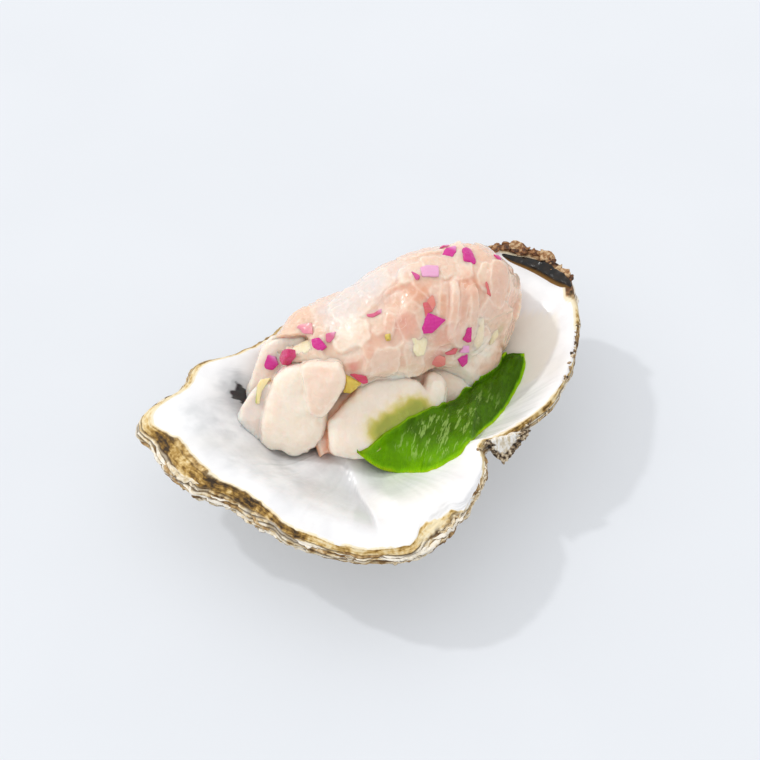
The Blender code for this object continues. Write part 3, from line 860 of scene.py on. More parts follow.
def makeFlakes(finish):
    # thin sheets of shell that stand free of the layered edge
    form = flakeForm
    draw = random.Random(23)
    rings = shellForm["inside"] + shellForm["edge"]
    count = shellForm["around"]
    grid = spotsOf(shell)[:-2].reshape(count, -1, 3)[:, shellForm["inside"]:rings]
    ways = outwardOf(shell)[:-2].reshape(count, -1, 3)[:, shellForm["inside"]:rings]
    parts = []
    tones = []
    brownUnderAndEdgeShade = []
    for number in range(form["count"]):
        low, high, _ = draw.choices(form["stretches"], [share for _, _, share in form["stretches"]])[0]
        start = int(draw.uniform(low, high) / 360 * count)
        steps = draw.randint(8, 26)
        upper = draw.uniform(16, 44)
        wide = draw.uniform(5, 12)
        slope = draw.uniform(-6, 6)
        lift = draw.uniform(0.15, 0.55)
        across = np.linspace(0, 1, 9)
        top = []
        bottom = []
        for step in range(steps + 1):
            share = step / steps
            taper = (1 - abs(2 * share - 1) ** 2.6) * (0.8 + 0.5 * noise.noise(Vector((step * 0.45, number,
                                                                                       0))))
            rows = np.clip(upper + slope * share + wide * across * max(taper, 0.05), 0,
                           rings - shellForm["inside"] - 1.01)
            here = (start + step) % count
            first = rows.astype(int)
            part = (rows - first)[:, None]
            spot = grid[here, first] * (1 - part) + grid[here, first + 1] * part
            way = ways[here, first] * (1 - part) + ways[here, first + 1] * part
            height = (-0.12 + lift * across ** 0.7 + 0.12
                      * noise.noise(Vector((step * 0.3, number, 5)))) * max(taper, 0.05)
            top.append(spot + way * height[:, None])
            bottom.append(spot + way * (height - form["thick"])[:, None])
        spots, faces = slab(np.array(top), np.array(bottom))
        parts.append((spots, faces))
        tones.append(np.full(len(spots), draw.random()))
        # brown on the underside, and painted shade along the lifted free border of the top
        brownUnderAndEdgeShade.append(np.concatenate([np.tile(across, steps + 1), np.ones(len(spots) // 2)]))
    piece = bare("edge_flakes", *joined(parts))
    paint(piece, "sheetTone", np.concatenate(tones))
    paint(piece, "flow", spotsOf(piece) * (0.3, 0.3, 2.0))
    paint(piece, "brownUnderAndEdgeShade", np.concatenate(brownUnderAndEdgeShade))
    return register(piece, finish)


def makeFlakeFinish():
    finish, tree, shader = startFinish("pale_shell_sheet", {"IOR": 1.5, "Roughness": 0.55})
    spot = place(tree)
    fine = cloudy(tree, spot, 1.0, 0.25, 0.75, detail=4.0)
    lines = use(tree, growthLines, {"Flow": paintedVector(tree, "flow"), "Width": 0.8})
    tone = plus(tree, times(tree, painted(tree, "sheetTone"), 0.7), times(tree, fine, 0.3))
    colour = ramp(tree, tone, [(0.12, (118, 84, 40)), (0.32, (186, 150, 96)),
                               (0.5, (226, 208, 172)), (0.75, (245, 238, 224))])
    # the brown of the underside, and painted shade along the lifted free border
    colour = mixColours(tree, spread(tree, painted(tree, "brownUnderAndEdgeShade"), 0.86, 1.0), colour, shade(112, 82, 44))
    feed(tree, shader.inputs["Base Color"], colour)
    raiseBy(tree, shader, lines["Height"], 0.4, 0.0003)
    return finish


# lines along which crumbs of rind sit on the lip: places in mm, count, sizes, how far they stray, how rusty
crumbLines = (
    (((45.5, 6.6, 27.4), (48.7, 4.6, 27.2), (50.9, -3.4, 28.6), (50.6, -7.4, 28.0), (49.8, -12.0, 27.1)),
     34, (1.6, 3.6), 0.7, 1.0),
    (((42.0, 9.0, 26.6), (45.5, 6.6, 27.4)), 9, (0.8, 2.0), 0.8, 0.8),
    (((40.5, -23.2, 24.6), (31.0, -28.4, 25.0), (23.8, -31.4, 25.0)), 34, (0.4, 1.3), 0.6, 0.35),
    (((14.9, -33.8, 24.2), (7.6, -33.0, 24.0)), 18, (0.4, 1.2), 0.7, 0.2),
    (((-5.0, -28.6, 24.2), (-2.8, -29.6, 23.0)), 8, (0.3, 0.9), 0.5, 0.2),
    (((-12.5, -35.4, 24.2), (-6.8, -33.2, 24.4)), 9, (0.3, 0.8), 0.5, 0.1),
)


def makeCrumbs(finish):
    draw = random.Random(61)
    skin = treeOf(shell)
    parts = []
    tones = []
    for stops, count, sizes, stray, rusty in crumbLines:
        line = curveThrough(stops, 60)
        for _ in range(count):
            spot = line[draw.randrange(len(line))] + np.array([draw.uniform(-stray, stray)
                                                               for _ in range(3)])
            where, normal, _, _ = skin.find_nearest(Vector(spot))
            size = draw.uniform(*sizes) * draw.uniform(0.6, 1.0)
            corners = sorted(draw.uniform(0, 2 * math.pi) for _ in range(7))
            outline = [(size * draw.uniform(0.5, 1.0) * math.cos(turn),
                        size * draw.uniform(0.4, 0.8) * math.sin(turn))
                       for turn in corners]
            thick = size * draw.uniform(0.22, 0.4)
            lean = Vector([draw.uniform(-0.3, 0.3) for _ in range(3)])
            form, faces = tablet(outline, thick, 0.3 * thick, 0.1, max(0.22, size / 5))
            form = form + 0.18 * size * np.column_stack([ripple(form, 0.6 * size, len(parts) + 7 * k)
                                                         for k in range(3)])
            parts.append((np.array(where) + (form + (0, 0, 0.1 * thick)) @ facing(normal + lean,
                                                                                  draw.uniform(0, 360)),
                          faces))
            tones.append(np.full((len(form), 2), (draw.random(), rusty)))
    piece = bare("rim_crumbs", *joined(parts))
    tones = np.concatenate(tones)
    paint(piece, "sheetTone", tones[:, 0])
    paint(piece, "rusty", tones[:, 1])
    return register(piece, finish)


def makeCrumbFinish():
    finish, tree, shader = startFinish("crumbs_of_rind", {"IOR": 1.5, "Roughness": 0.65})
    spot = place(tree)
    fine = cloudy(tree, spot, 0.7, 0.25, 0.75, detail=4.0)
    tone = plus(tree, times(tree, painted(tree, "sheetTone"), 0.55), times(tree, fine, 0.45))
    plain = ramp(tree, tone, [(0.15, (60, 46, 30)), (0.4, (140, 112, 74)), (0.6, (206, 184, 142)),
                              (0.8, (240, 230, 208))])
    rust = ramp(tree, tone, [(0.15, (50, 30, 18)), (0.4, (114, 70, 38)), (0.6, (160, 114, 70)),
                             (0.8, (210, 180, 140))])
    feed(tree, shader.inputs["Base Color"], mixColours(tree, painted(tree, "rusty"), plain, rust))
    raiseBy(tree, shader, fine, 0.6, 0.0003)
    return finish


# a broken plate that stands on the lip by the notch: its corners in mm
plateForm = {"corners": ((-3.2, -28.4, 25.2), (-0.9, -32.4, 18.9), (7.8, -33.5, 24.0)), "thick": 1.2}


def makePlate(finish):
    corners = np.array(plateForm["corners"])
    middle = corners.mean(axis=0)
    across = corners[2] - corners[0]
    across /= np.linalg.norm(across)
    up = np.cross(across, corners[1] - corners[0])
    up *= -1 if up[2] < 0 else 1
    up /= np.linalg.norm(up)
    side = np.cross(up, across)
    axes = np.array([across, side, up])
    flat = (corners - middle) @ axes.T
    outline = []
    for here, there in zip(flat, np.roll(flat, -1, axis=0)):
        for share in np.linspace(0, 1, 16)[:-1]:
            outline.append(here[:2] * (1 - share) + there[:2] * share)
    outline = np.array(outline)
    outline += 0.45 * np.column_stack([ripple(np.pad(outline, ((0, 0), (0, 1))), 1.2, 51, 2),
                                       ripple(np.pad(outline, ((0, 0), (0, 1))), 1.2, 52, 2)])
    spots, faces = tablet(outline, plateForm["thick"], 0.25, 0.0, 0.22)
    edges = [(flat[0], flat[1]), (flat[1], flat[2])]
    apart = np.full(len(spots), farOff)
    for start, end in edges:
        way = (end - start)[:2]
        share = np.clip(((spots[:, :2] - start[:2]) @ way) / (way @ way), 0, 1)
        apart = np.minimum(apart, np.linalg.norm(spots[:, :2] - start[:2] - share[:, None] * way, axis=1))
    border = smooth(2.0, 0.8, apart + 0.8 * ripple(spots, 1.4, 53, 2))
    spots = spots + np.column_stack([np.zeros((len(spots), 2)),
                                     border * (0.45 + 0.8 * ripple(spots, 0.8, 54, 3))
                                     + 0.18 * ripple(spots * (1.0, 0.3, 1.0), 0.9, 55, 2)])
    piece = bare("notch_plate", middle + spots @ axes, faces)
    paint(piece, "border", border)
    paint(piece, "flow", spots * (1.0, 0.25, 1.0))
    return register(piece, finish)


def makePlateFinish():
    finish, tree, shader = startFinish("broken_shell_plate", {"IOR": 1.5, "Roughness": 0.7})
    spot = place(tree)
    fine = cloudy(tree, spot, 0.8, 0.3, 0.7, detail=4.0)
    lines = use(tree, growthLines, {"Flow": paintedVector(tree, "flow"), "Width": 0.7})
    core = ramp(tree, lines["Tone"], [(0.2, (206, 190, 158)), (0.5, (238, 232, 220)),
                                      (0.8, (250, 249, 246))])
    crumbs = ramp(tree, fine, [(0.15, (42, 32, 22)), (0.4, (104, 84, 62)), (0.65, (160, 138, 108)),
                               (0.9, (222, 206, 178))])
    feed(tree, shader.inputs["Base Color"], mixColours(tree, spread(tree, painted(tree, "border"), 0.3,
                                                                    0.6), core, crumbs))
    raiseBy(tree, shader, fine, 0.6, 0.0004)
    return finish


print("making the shell")
shellTree = treeOf(frame["nodes"]["shell"])
shell = makeShell(shellTree, makeShellFinish())
makeFlakes(makeFlakeFinish())
makePlate(makePlateFinish())
makeCrumbs(makeCrumbFinish())


# the hinge
hingeStrip = {"ends": ((46.0, 4.8), (49.0, -14.6)), "bow": 1.5, "halfWidth": 2.3, "thick": 2.0}


def makeLigament(finish):
    form = hingeStrip
    start, end = (np.array(point) for point in form["ends"])
    along = (end - start) / np.linalg.norm(end - start)
    across = np.array([-along[1], along[0]])
    length = 120
    wide = 26
    spots = []
    for step in np.linspace(-1, 1, length):
        taper = (1 - abs(step) ** 3.5) ** 0.6
        thicker = 0.72 + 0.28 * step
        middle = (start + end) / 2 + along * step * np.linalg.norm(end - start) / 2
        middle = middle + across * form["bow"] * (1 - step * step)
        for side in np.linspace(-1, 1, wide):
            plan = middle + across * side * form["halfWidth"] * taper * thicker
            hit = dropOn(shellSkin, *plan)
            dome = max(0.0, 1 - abs(side) ** 2.6) ** 0.5
            ridges = 0.16 * noise.noise(Vector((step * 2.2, side * 5.0, 1.0))) + 0.10 * noise.noise(
                Vector((step * 7.0, side * 11.0, 4.0)))
            spots.append((plan[0], plan[1], hit.z - 0.25 + (form["thick"] * thicker * dome + ridges * dome)
                          * taper))
    spots = ease(np.array(spots).reshape(length, wide, 3), 2, 1, closed=False)
    under = spots.copy()
    under[..., 2] -= 0.9
    piece = bare("hinge_ligament_strip", *slab(spots, under))
    side = np.tile(np.linspace(-1, 1, wide), 2 * length)
    paint(piece, "inner", side)
    return register(piece, finish, ["hinge_ligament"])


def makeLigamentFinish():
    finish, tree, shader = startFinish("wet_black_ligament",
                                       {"Specular IOR Level": 0.25, "Coat Weight": 0.25,
                                        "Coat Roughness": 0.04})
    spot = place(tree)
    dark = cloudy(tree, spot, 1.3, 0.35, 0.7)
    colour = mixColours(tree, dark, shade(10, 9, 8), shade(34, 25, 17))
    edge = spread(tree, painted(tree, "inner"), -0.62, -0.98)
    colour = mixColours(tree, edge, colour, shade(132, 96, 44))
    feed(tree, shader.inputs["Base Color"], colour)
    relief = wetten(tree, shader, spot, 0.5, 0.06, 0.25)
    raiseBy(tree, shader, relief, 0.4, 0.0003)
    return finish


print("making the hinge")
shellSkin = treeOf(shell)
makeLigament(makeLigamentFinish())


# the diced fish
heapForm = {
    "middle": (8.34, 8.20, 24.0), "turn": -21.0, "half": (33.0, 14.5, 17.5),
    "voxel": 0.34, "rounds": 10, "pieces": 110, "flatness": 0.42, "step": 0.40,
    # where the mass is drawn in (-) or swells (+): place, radius, mm
    "swells": (((-6.1, 23.5, 32.5), 10.0, 2.2), ((-15.0, 20.5, 30.0), 8.0, 2.8),
               ((-18.0, 15.0, 28.0), 7.0, 1.5), ((22.0, -9.0, 17.0), 9.0, 2.6),
               ((14.0, -8.0, 16.5), 9.0, 3.2), ((26.6, 7.0, 41.8), 7.0, -0.7),
               ((33.0, 4.0, 38.0), 7.0, -0.6)),
    # single pieces laid over the others: place, half width and half height, turn, lift, pink and milky
    "laid": (
        ((5.0, 14.0, 40.0), (8.5, 4.2), 30, 0.25, (0.2, 0.9)),
        ((0.0, 12.5, 38.9), (5.2, 3.2), 36, 0.45, (0.1, 1.0)),
        ((20.1, 3.2, 43.5), (4.2, 3.8), 12, 0.3, (0.3, 0.5)),
        ((13.0, -3.4, 39.6), (1.3, 6.2), -6, 0.15, (0.7, 0.1)),
        ((14.6, -5.4, 38.6), (1.2, 6.6), -10, 0.5, (0.4, 0.6)),
        ((16.4, -6.9, 38.0), (1.3, 6.8), -8, 0.2, (0.8, 0.2)),
        ((18.6, -8.3, 36.7), (1.5, 7.0), -4, 0.5, (0.5, 0.4)),
        ((28.2, -8.3, 38.1), (3.2, 5.4), -14, 0.3, (0.6, 0.3)),
        ((1.6, 3.0, 38.6), (1.4, 3.2), -14, 0.5, (0.7, 0.2)),
        ((4.6, -0.4, 37.6), (2.8, 3.6), 20, 0.2, (0.9, 0.1)),
        ((-3.7, -0.2, 32.6), (3.6, 4.0), -10, 0.4, (0.5, 0.8)),
        ((-5.6, 8.6, 37.2), (4.6, 3.2), 20, 0.4, (0.1, 0.9)),
        ((2.0, -4.4, 31.0), (2.4, 4.6), 8, 0.3, (0.3, 0.7)),
        ((11.0, -7.5, 22.0), (3.2, 4.6), 0, 0.4, (0.3, 0.9)),
    ),
    # soft patches of colour: kind, place, radius, strength
    "washes": (
        ("grey", (6.8, 15.5, 39.7), 9.0, 1.0), ("grey", (-1.0, 16.0, 38.5), 7.5, 0.9),
        ("grey", (13.0, 11.0, 42.0), 5.0, 0.6), ("milky", (-4.0, 11.0, 37.8), 6.5, 0.9),
        ("milky", (-7.5, 7.0, 36.0), 4.5, 0.6), ("milky", (20.1, 3.2, 43.5), 4.0, 0.3),
        # the milky washes at (12.5, -8.0, 20.0) and (18.7, -10.4, 25.2) are painted light, lightening the low
        # right of the heap where it lies in shade
        ("milky", (-1.3, -2.8, 26.3), 5.5, 0.9), ("milky", (12.5, -8.0, 20.0), 8.0, 1.0),
        ("milky", (18.7, -10.4, 25.2), 6.5, 1.0), ("orange", (7.5, 6.2, 41.2), 4.2, 0.8),
        ("orange", (11.5, 2.1, 42.0), 3.6, 0.9), ("orange", (21.4, -4.7, 41.1), 4.2, 1.0),
        ("orange", (-1.5, 3.5, 37.6), 3.2, 0.4), ("orange", (14.1, -4.0, 39.4), 4.4, 0.5),
        ("orange", (-12.5, 7.2, 32.1), 3.5, 0.5), ("pink", (4.1, 0.4, 38.1), 5.0, 0.9),
        ("pink", (10.8, -6.0, 34.5), 5.5, 0.8), ("pink", (28.2, -8.3, 38.1), 5.0, 0.4),
        ("pink", (-9.4, 4.7, 33.0), 2.6, 0.7), ("pink", (7.0, -6.0, 30.5), 4.0, 0.5),
        ("olive", (25.4, -11.2, 27.4), 1.5, 0.35), ("olive", (26.9, -11.3, 23.3), 1.5, 0.6),
        ("olive", (26.8, -10.2, 18.6), 1.6, 0.8), ("olive", (24.6, -8.8, 13.2), 1.8, 0.8),
        ("blush", (11.6, -0.8, 41.0), 2.0, 0.5), ("blush", (7.6, -6.4, 29.4), 2.6, 0.45),
        ("blush", (-9.4, 4.4, 32.4), 1.8, 0.5), ("blush", (23.6, -6.4, 39.6), 1.4, 0.25),
        ("blush", (-9.2, 18.4, 34.6), 2.2, 0.25),
    ),
}
sliceKinds = ("pink", "milky", "orange", "grey")
washKinds = (*sliceKinds, "olive", "blush")


def placePieces():
    # pieces of fish over the CAD heap: centre, axes, half sizes, lift, tilt and tones, lowest first
    draw = random.Random(41)
    turn = Matrix.Rotation(math.radians(heapForm["turn"]), 3, "Z")
    laid = []
    for way in heapDirections(heapForm["pieces"], 5):
        outward = turn @ Vector([a * b for a, b in zip(way, heapForm["half"])])
        spot, normal, _, _ = heapTree.find_nearest(Vector(heapForm["middle"]) + outward)
        half = (draw.uniform(3.4, 7.0), draw.uniform(2.4, 4.8), 3.6)
        tilt = (draw.uniform(-0.05, 0.05), draw.uniform(-0.05, 0.05))
        laid.append((spot, facing(normal, draw.uniform(-180, 180)), half,
                     draw.uniform(-1, 1) * heapForm["step"], tilt,
                     (draw.random() * 0.8, draw.random() * 0.8)))
    draw.shuffle(laid)
    for middle, half, turned, lift, tones in heapForm["laid"]:
        spot, normal, _, _ = heapTree.find_nearest(Vector(middle))
        laid.append((spot, facing(normal, turned), (*half, 3.6), lift, (0.0, 0.0), tones))
    return laid


def heapDirections(count, seed):
    # evenly spread directions, a little disturbed
    draw = np.random.default_rng(seed)
    index = np.arange(count) + 0.5
    level = 1 - 2 * index / count
    turn = math.pi * (1 + 5**0.5) * index
    flat = np.sqrt(1 - level * level)
    spots = np.column_stack([np.cos(turn) * flat, np.sin(turn) * flat, level])
    return spots + draw.normal(0, 0.045, spots.shape)


def pressPieces(spots):
    # the low relief of all the pieces, with how pink and milky each place is and how near an edge, where a
    # highlight is painted
    level = np.zeros(len(spots))
    tones = np.full((len(spots), 2), 0.3)
    rim = np.zeros(len(spots))
    wander = 0.22 * np.column_stack([ripple(spots, 3.6, 30, 2), ripple(spots, 3.6, 31, 2)])
    for centre, axes, half, lift, tilt, own in placePieces():
        local = (spots - np.array(centre)) @ axes.T
        near = np.flatnonzero((np.abs(local) < 1.25 * np.array(half)).all(axis=1))
        local = local[near]
        across = local[:, :2] / half[:2] + wander[near]
        apart = (np.abs(across) ** 4.5).sum(axis=1) + (np.abs(local[:, 2]) / half[2]) ** 4.5
        apart = apart ** (1 / 4.5)
        inwards = (1 - apart) * min(half[:2])  # mm inside the piece's own edge
        share = smooth(-0.2, 0.45, inwards)
        flat = np.clip(-local[:, 2], -0.5, 1.6) * heapForm["flatness"]
        wanted = lift + flat + local[:, 0] * tilt[0] + local[:, 1] * tilt[1]
        level[near] += (wanted - level[near]) * share
        tones[near] += (np.array(own) - tones[near]) * share[:, None]
        # painted highlight: a thin band just inside the piece's edge
        rim[near] = rim[near] * (1 - share) + share * np.exp(-((inwards - 0.35) / 0.25) ** 2)
    return level, tones, rim


def makeHeap(finish):
    form = heapForm
    piece = fuse("tartare_mass", *welded(frame["nodes"]["tartare"]), form["voxel"], form["rounds"])
    spots = spotsOf(piece)
    outward = outwardOf(piece)
    level, tones, rim = pressPieces(spots)
    level += 0.10 * ripple(spots, 3.0, 35, 2)
    level = np.clip(level, -0.6, 1.1) + 0.13 * ripple(spots, 1.3, 36, 2)
    for middle, radius, swell in form["swells"]:
        level += swell * (1 - smooth(0.0, radius, np.linalg.norm(spots - middle, axis=1)))
    spots = spots + outward * level[:, None]
    for cutSlice in (leftSlice, frontSlice):
        spots = drawnBack(spots, cutSlice)
    moveTo(piece, spots)
    paint(piece, "rim", rim)
    washes = {kind: np.zeros(len(spots)) for kind in washKinds}
    washes["pink"] = 0.45 * tones[:, 0]
    washes["milky"] = 0.45 * tones[:, 1]
    soft = 1.1 * ripple(spots, 3.0, 33, 2) + 0.35 * (tones[:, 0] - 0.4)
    for kind, middle, radius, strength in form["washes"]:
        apart = np.linalg.norm(spots - middle, axis=1) + soft * min(1.0, radius / 4)
        washes[kind] = np.maximum(washes[kind],
                                  strength * (1 - smooth(0.25 * radius, 1.15 * radius, apart)))
    for kind, values in washes.items():
        paint(piece, kind, values)
    return register(piece, finish, ["tartare"])


def sliceAxes(form):
    return np.array(Matrix.Rotation(math.radians(form["turn"]), 3,
                                    "Z") @ Matrix.Rotation(math.radians(-form["lean"]), 3, "X"))


def drawnBack(spots, form):
    # lets a slice lie in the mass instead of being buried by it
    axes = sliceAxes(form)
    local = (spots - np.array(form["centre"])) @ axes
    for lobe in form["lobes"]:
        inside = insideBy(lobeOutline(lobe, 60), local[:, [0, 2]])
        behind = lobe["behind"] - 0.5 * lobe["thick"] + 0.9
        local[:, 1] += np.clip(behind - local[:, 1], 0,
                               6) * smooth(-1.6, 0.6, inside) * (local[:, 1] > behind - 6)
    return local @ axes.T + np.array(form["centre"])


def makeFleshGroup():
    # the colours of raw fish, from painted shares of each, with a painted highlight
    group, given, out = startGroup(
        "raw_flesh",
        [("Place", "vector", None), ("Pale", "colour", shade(226, 194, 169)), ("Pink Share", "value", 0.0),
         ("Milky Share", "value", 0.0), ("Orange Share", "value", 0.0), ("Grey Share", "value", 0.0),
         ("Olive Share", "value", 0.0), ("Blush Share", "value", 0.0), ("Highlight Share", "value", 0.0)],
        [("Colour", "colour"), ("Height", "value")])
    drift = cloudy(group, given["Place"], 5.0, 0.35, 0.75)
    fibres = cloudy(group, given["Place"], 1.5, 0.25, 0.8, detail=4.0)
    colour = mixColours(group, times(group, drift, 0.35), given["Pale"], shade(224, 168, 136))
    for share, tint in (("Pink Share", shade(223, 162, 141)), ("Orange Share", shade(220, 150, 112)),
                        ("Milky Share", shade(245, 233, 218)), ("Grey Share", shade(222, 211, 206)),
                        ("Blush Share", shade(206, 84, 78)), ("Olive Share", shade(164, 158, 66))):
        uneven = times(group, given[share], plus(group, times(group, fibres, 0.3), 0.85))
        colour = mixColours(group, uneven, colour, tint)
    colour = mixColours(group, times(group, fibres, 0.12), colour, shade(246, 234, 222))
    thread = use(group, filaments, {"Place": given["Place"]})["Amount"]
    colour = mixColours(group, times(group, thread, 0.36), colour, shade(248, 236, 224))
    # painted highlight along the edges of the pieces
    colour = mixColours(group, times(group, given["Highlight Share"], 0.34), colour, shade(247, 232, 218))
    group.links.new(colour, out["Colour"])
    group.links.new(fibres, out["Height"])
    return group


# how light passes through raw fish
fleshLight = {"IOR": 1.36, "Subsurface Weight": 0.8, "Subsurface Scale": 0.0036,
              "Subsurface Radius": (1.0, 0.62, 0.50), "Coat Roughness": 0.04}


def makeFleshFinish(name):
    finish, tree, shader = startFinish(name, {**fleshLight, "Coat Weight": 0.55})
    spot = place(tree)
    feeds = {"Place": spot, "Highlight Share": painted(tree, "rim")}
    feeds.update({kind.capitalize() + " Share": painted(tree, kind) for kind in washKinds})
    flesh = use(tree, rawFlesh, feeds)
    feed(tree, shader.inputs["Base Color"], flesh["Colour"])
    relief = wetten(tree, shader, spot, 0.9, 0.08, 0.3)
    raiseBy(tree, shader, plus(tree, relief, times(tree, flesh["Height"], 0.5)), 0.4, 0.0004)
    return finish


rawFlesh = makeFleshGroup()


# the fish slices and the bank of the sauce on them
sauceForm = {
    # the bank by the lip, in plan and with how far it hangs over the shell, and the bank by the fish with its
    # height, from the near end to the hinge end
    "outer": ((-18.3, -4.1, 6.2), (-18.1, -4.9, 5.2), (-17.6, -5.6, 4.6), (-16.5, -6.7, 3.4),
              (-15.0, -8.0, 2.0), (-13.5, -9.6, 0.8), (-12.7, -12.0, 0.1), (-12.5, -14.8, 0.0),
              (-12.7, -18.0, 0.0), (-12.5, -20.6, 0.0), (-10.6, -22.9, 0.0), (-7.0, -24.3, 0.0),
              (-3.4, -24.7, 0.0), (3.0, -22.8, 0.0), (11.4, -22.0, 0.0), (18.2, -20.4, 0.0),
              (24.6, -18.8, 0.0), (28.0, -17.2, 0.0), (30.0, -15.4, 0.0)),
    "inner": ((-18.2, -3.9, 15.4), (-17.3, -4.5, 16.1), (-15.1, -5.5, 17.8), (-11.2, -6.3, 19.0),
              (-7.5, -7.5, 19.9), (-3.3, -8.8, 20.5), (2.6, -11.2, 20.0), (9.2, -11.4, 17.6),
              (16.3, -11.6, 16.9), (22.0, -11.4, 16.5), (26.6, -11.2, 16.8), (29.0, -12.4, 16.9),
              (30.2, -15.2, 17.9)),
    "along": 300, "across": 130, "swell": 1.3, "margin": 0.16,
}

# each lobe: its outline in the slice's own plane, how far its middle lies behind the centre of that plane,
# its thickness, the roundness of its edge, and how pink, milky, orange and grey it is
leftSlice = {
    "centre": (-19.16, 13.5, 20.5), "turn": -54.0, "lean": 30.0,
    "lobes": [
        {"outline": ((-2.6, 10.6), (-5.1, 7.8), (-6.8, 3.6), (-7.6, -0.8), (-7.9, -4.2), (-7.5, -7.6),
                     (-6.2, -9.2), (-4.4, -9.5), (-2.6, -9.7), (-1.2, -10.3), (1.0, -10.3), (2.2, -9.7),
                     (3.2, -9.9), (3.9, -8.5), (5.0, -8.1), (5.6, -6.6), (6.6, -5.6), (7.5, -2.8),
                     (7.0, 3.0), (5.4, 9.2), (1.0, 11.6)),
         "behind": -1.3, "thick": 9.0, "bevel": 2.2, "tones": (0.05, 1.0, 0.0, 0.0)},
        {"outline": ((1.2, 12.2), (2.2, 6.4), (3.0, 1.4), (4.6, 0.1), (6.4, -0.1), (7.8, 1.2), (9.7, 4.3),
                     (11.2, 8.2), (11.3, 10.6), (10.4, 12.6), (8.4, 13.2), (4.4, 13.1)),
         "behind": -3.3, "thick": 8.0, "bevel": 1.3, "tones": (0.36, 0.5, 0.2, 0.0)},
        {"outline": ((-2.6, 7.0), (-7.8, 6.2), (-10.8, 3.6), (-12.6, 0.0), (-13.7, -3.2), (-13.2, -6.0),
                     (-12.1, -8.1), (-10.5, -9.6), (-9.4, -9.4), (-7.8, -10.9), (-6.2, -10.4),
                     (-4.6, -11.4), (-3.0, -6.0)),
         "behind": -2.0, "thick": 3.2, "bevel": 1.2, "tones": (0.10, 0.0, 0.0, 1.0)},
        {"outline": ((-12.4, -2.0), (-12.5, 1.0), (-11.4, 5.0), (-9.9, 9.9), (-8.6, 13.0), (-6.0, 15.4),
                     (-2.0, 16.0), (2.0, 15.0), (0.0, 4.0), (-5.0, -3.0)),
         "behind": 5.0, "thick": 4.2, "bevel": 1.8, "tones": (0.15, 0.3, 0.1, 0.6)},
    ]}
frontSlice = {
    "centre": (-5.96, -0.5, 17.0), "turn": -31.0, "lean": 44.0,
    "lobes": [
        {"outline": ((-12.9, 2.0), (-13.7, 0.6), (-14.3, -2.0), (-14.4, -5.2), (-12.0, -7.3), (-8.0, -8.8),
                     (-4.4, -8.9), (0.0, -6.4), (7.0, -6.0), (13.4, -4.6), (13.6, -0.4), (11.4, 2.6),
                     (9.0, 6.0), (4.4, 8.0), (-2.0, 8.4), (-7.6, 5.6)),
         "behind": -1.3, "thick": 10.4, "bevel": 2.4, "tones": (0.0, 0.85, 0.0, 0.25)},
        {"outline": ((9.6, -3.0), (13.8, -3.4), (16.0, 0.2), (16.2, 3.4), (14.6, 6.0), (12.4, 6.4),
                     (10.6, 3.0)),
         "behind": -2.0, "thick": 7.5, "bevel": 2.4, "tones": (0.0, 1.0, 0.0, 0.1)},
        {"outline": ((-16.5, -6.5), (-16.5, 0.0), (-13.5, 3.5), (-9.0, 6.5), (-5.0, 7.0), (-6.0, 2.0),
                     (-10.0, -4.0)),
         "behind": 0.0, "thick": 5.4, "bevel": 1.6, "tones": (0.0, 0.0, 1.5, 0.0)},
        {"outline": ((8.0, -4.5), (14.0, -5.0), (18.5, -3.0), (23.0, -0.5), (22.0, 2.8), (18.5, 5.6),
                     (14.0, 7.2), (9.0, 6.5)),
         "behind": 1.6, "thick": 5.0, "bevel": 2.0, "tones": (0.5, 0.5, 0.1, 0.1)},
    ]}


def lobeOutline(lobe, count):
    return curveThrough([*lobe["outline"], lobe["outline"][0]], count)[:-1]


def unevenly(spots, size, seeds):
    # soft noise along each axis, one seed for each
    return np.column_stack([ripple(spots, size, seed) for seed in seeds])


def lobeLump(lobe, number, form):
    # one lobe as a closed lump, lifted where it would go through the shell
    corners = lobeOutline(lobe, 90)
    corners = corners + 0.16 * unevenly(np.pad(corners, ((0, 0), (0, 1))), 1.6, (60 + number, 64 + number))
    spots, faces = tablet(corners, lobe["thick"], lobe["bevel"], 0.5, 0.5)
    local = np.column_stack([spots[:, 0], lobe["behind"] - spots[:, 2], spots[:, 1]])
    local = local + 0.35 * unevenly(local, 5.0, (70 + number, 75 + number, 80 + number))
    spots = local @ sliceAxes(form).T + np.array(form["centre"])
    floor = [dropOn(shellSkin, x, y) for x, y, _ in spots]
    spots[:, 2] = np.maximum(spots[:, 2], [hit.z + 0.1 if hit else 0 for hit in floor])
    return spots, faces


def lobeShares(form, local):
    # the tones of the lobes that lie in front at each place, and how near an edge it is
    shares = np.zeros((len(local), 4))
    total = np.full(len(local), 1e-9)
    rim = np.zeros(len(local))
    for lobe in form["lobes"]:
        inside = insideBy(lobeOutline(lobe, 90), local[:, [0, 2]])
        front = lobe["behind"] - lobe["thick"] / 2
        share = smooth(-0.8, 1.2, inside) * np.exp(-np.clip(np.abs(local[:, 1] - front), 0, 8) / 0.5) + 1e-6
        shares += share[:, None] * lobe["tones"]
        total += share
        # painted highlight along the edge of each lobe in front
        rim = np.maximum(rim, np.exp(-((inside - 0.7) / 0.5) ** 2)
                         * np.exp(-np.abs(local[:, 1] - front - 0.4) / 0.8))
    return shares / total[:, None], rim


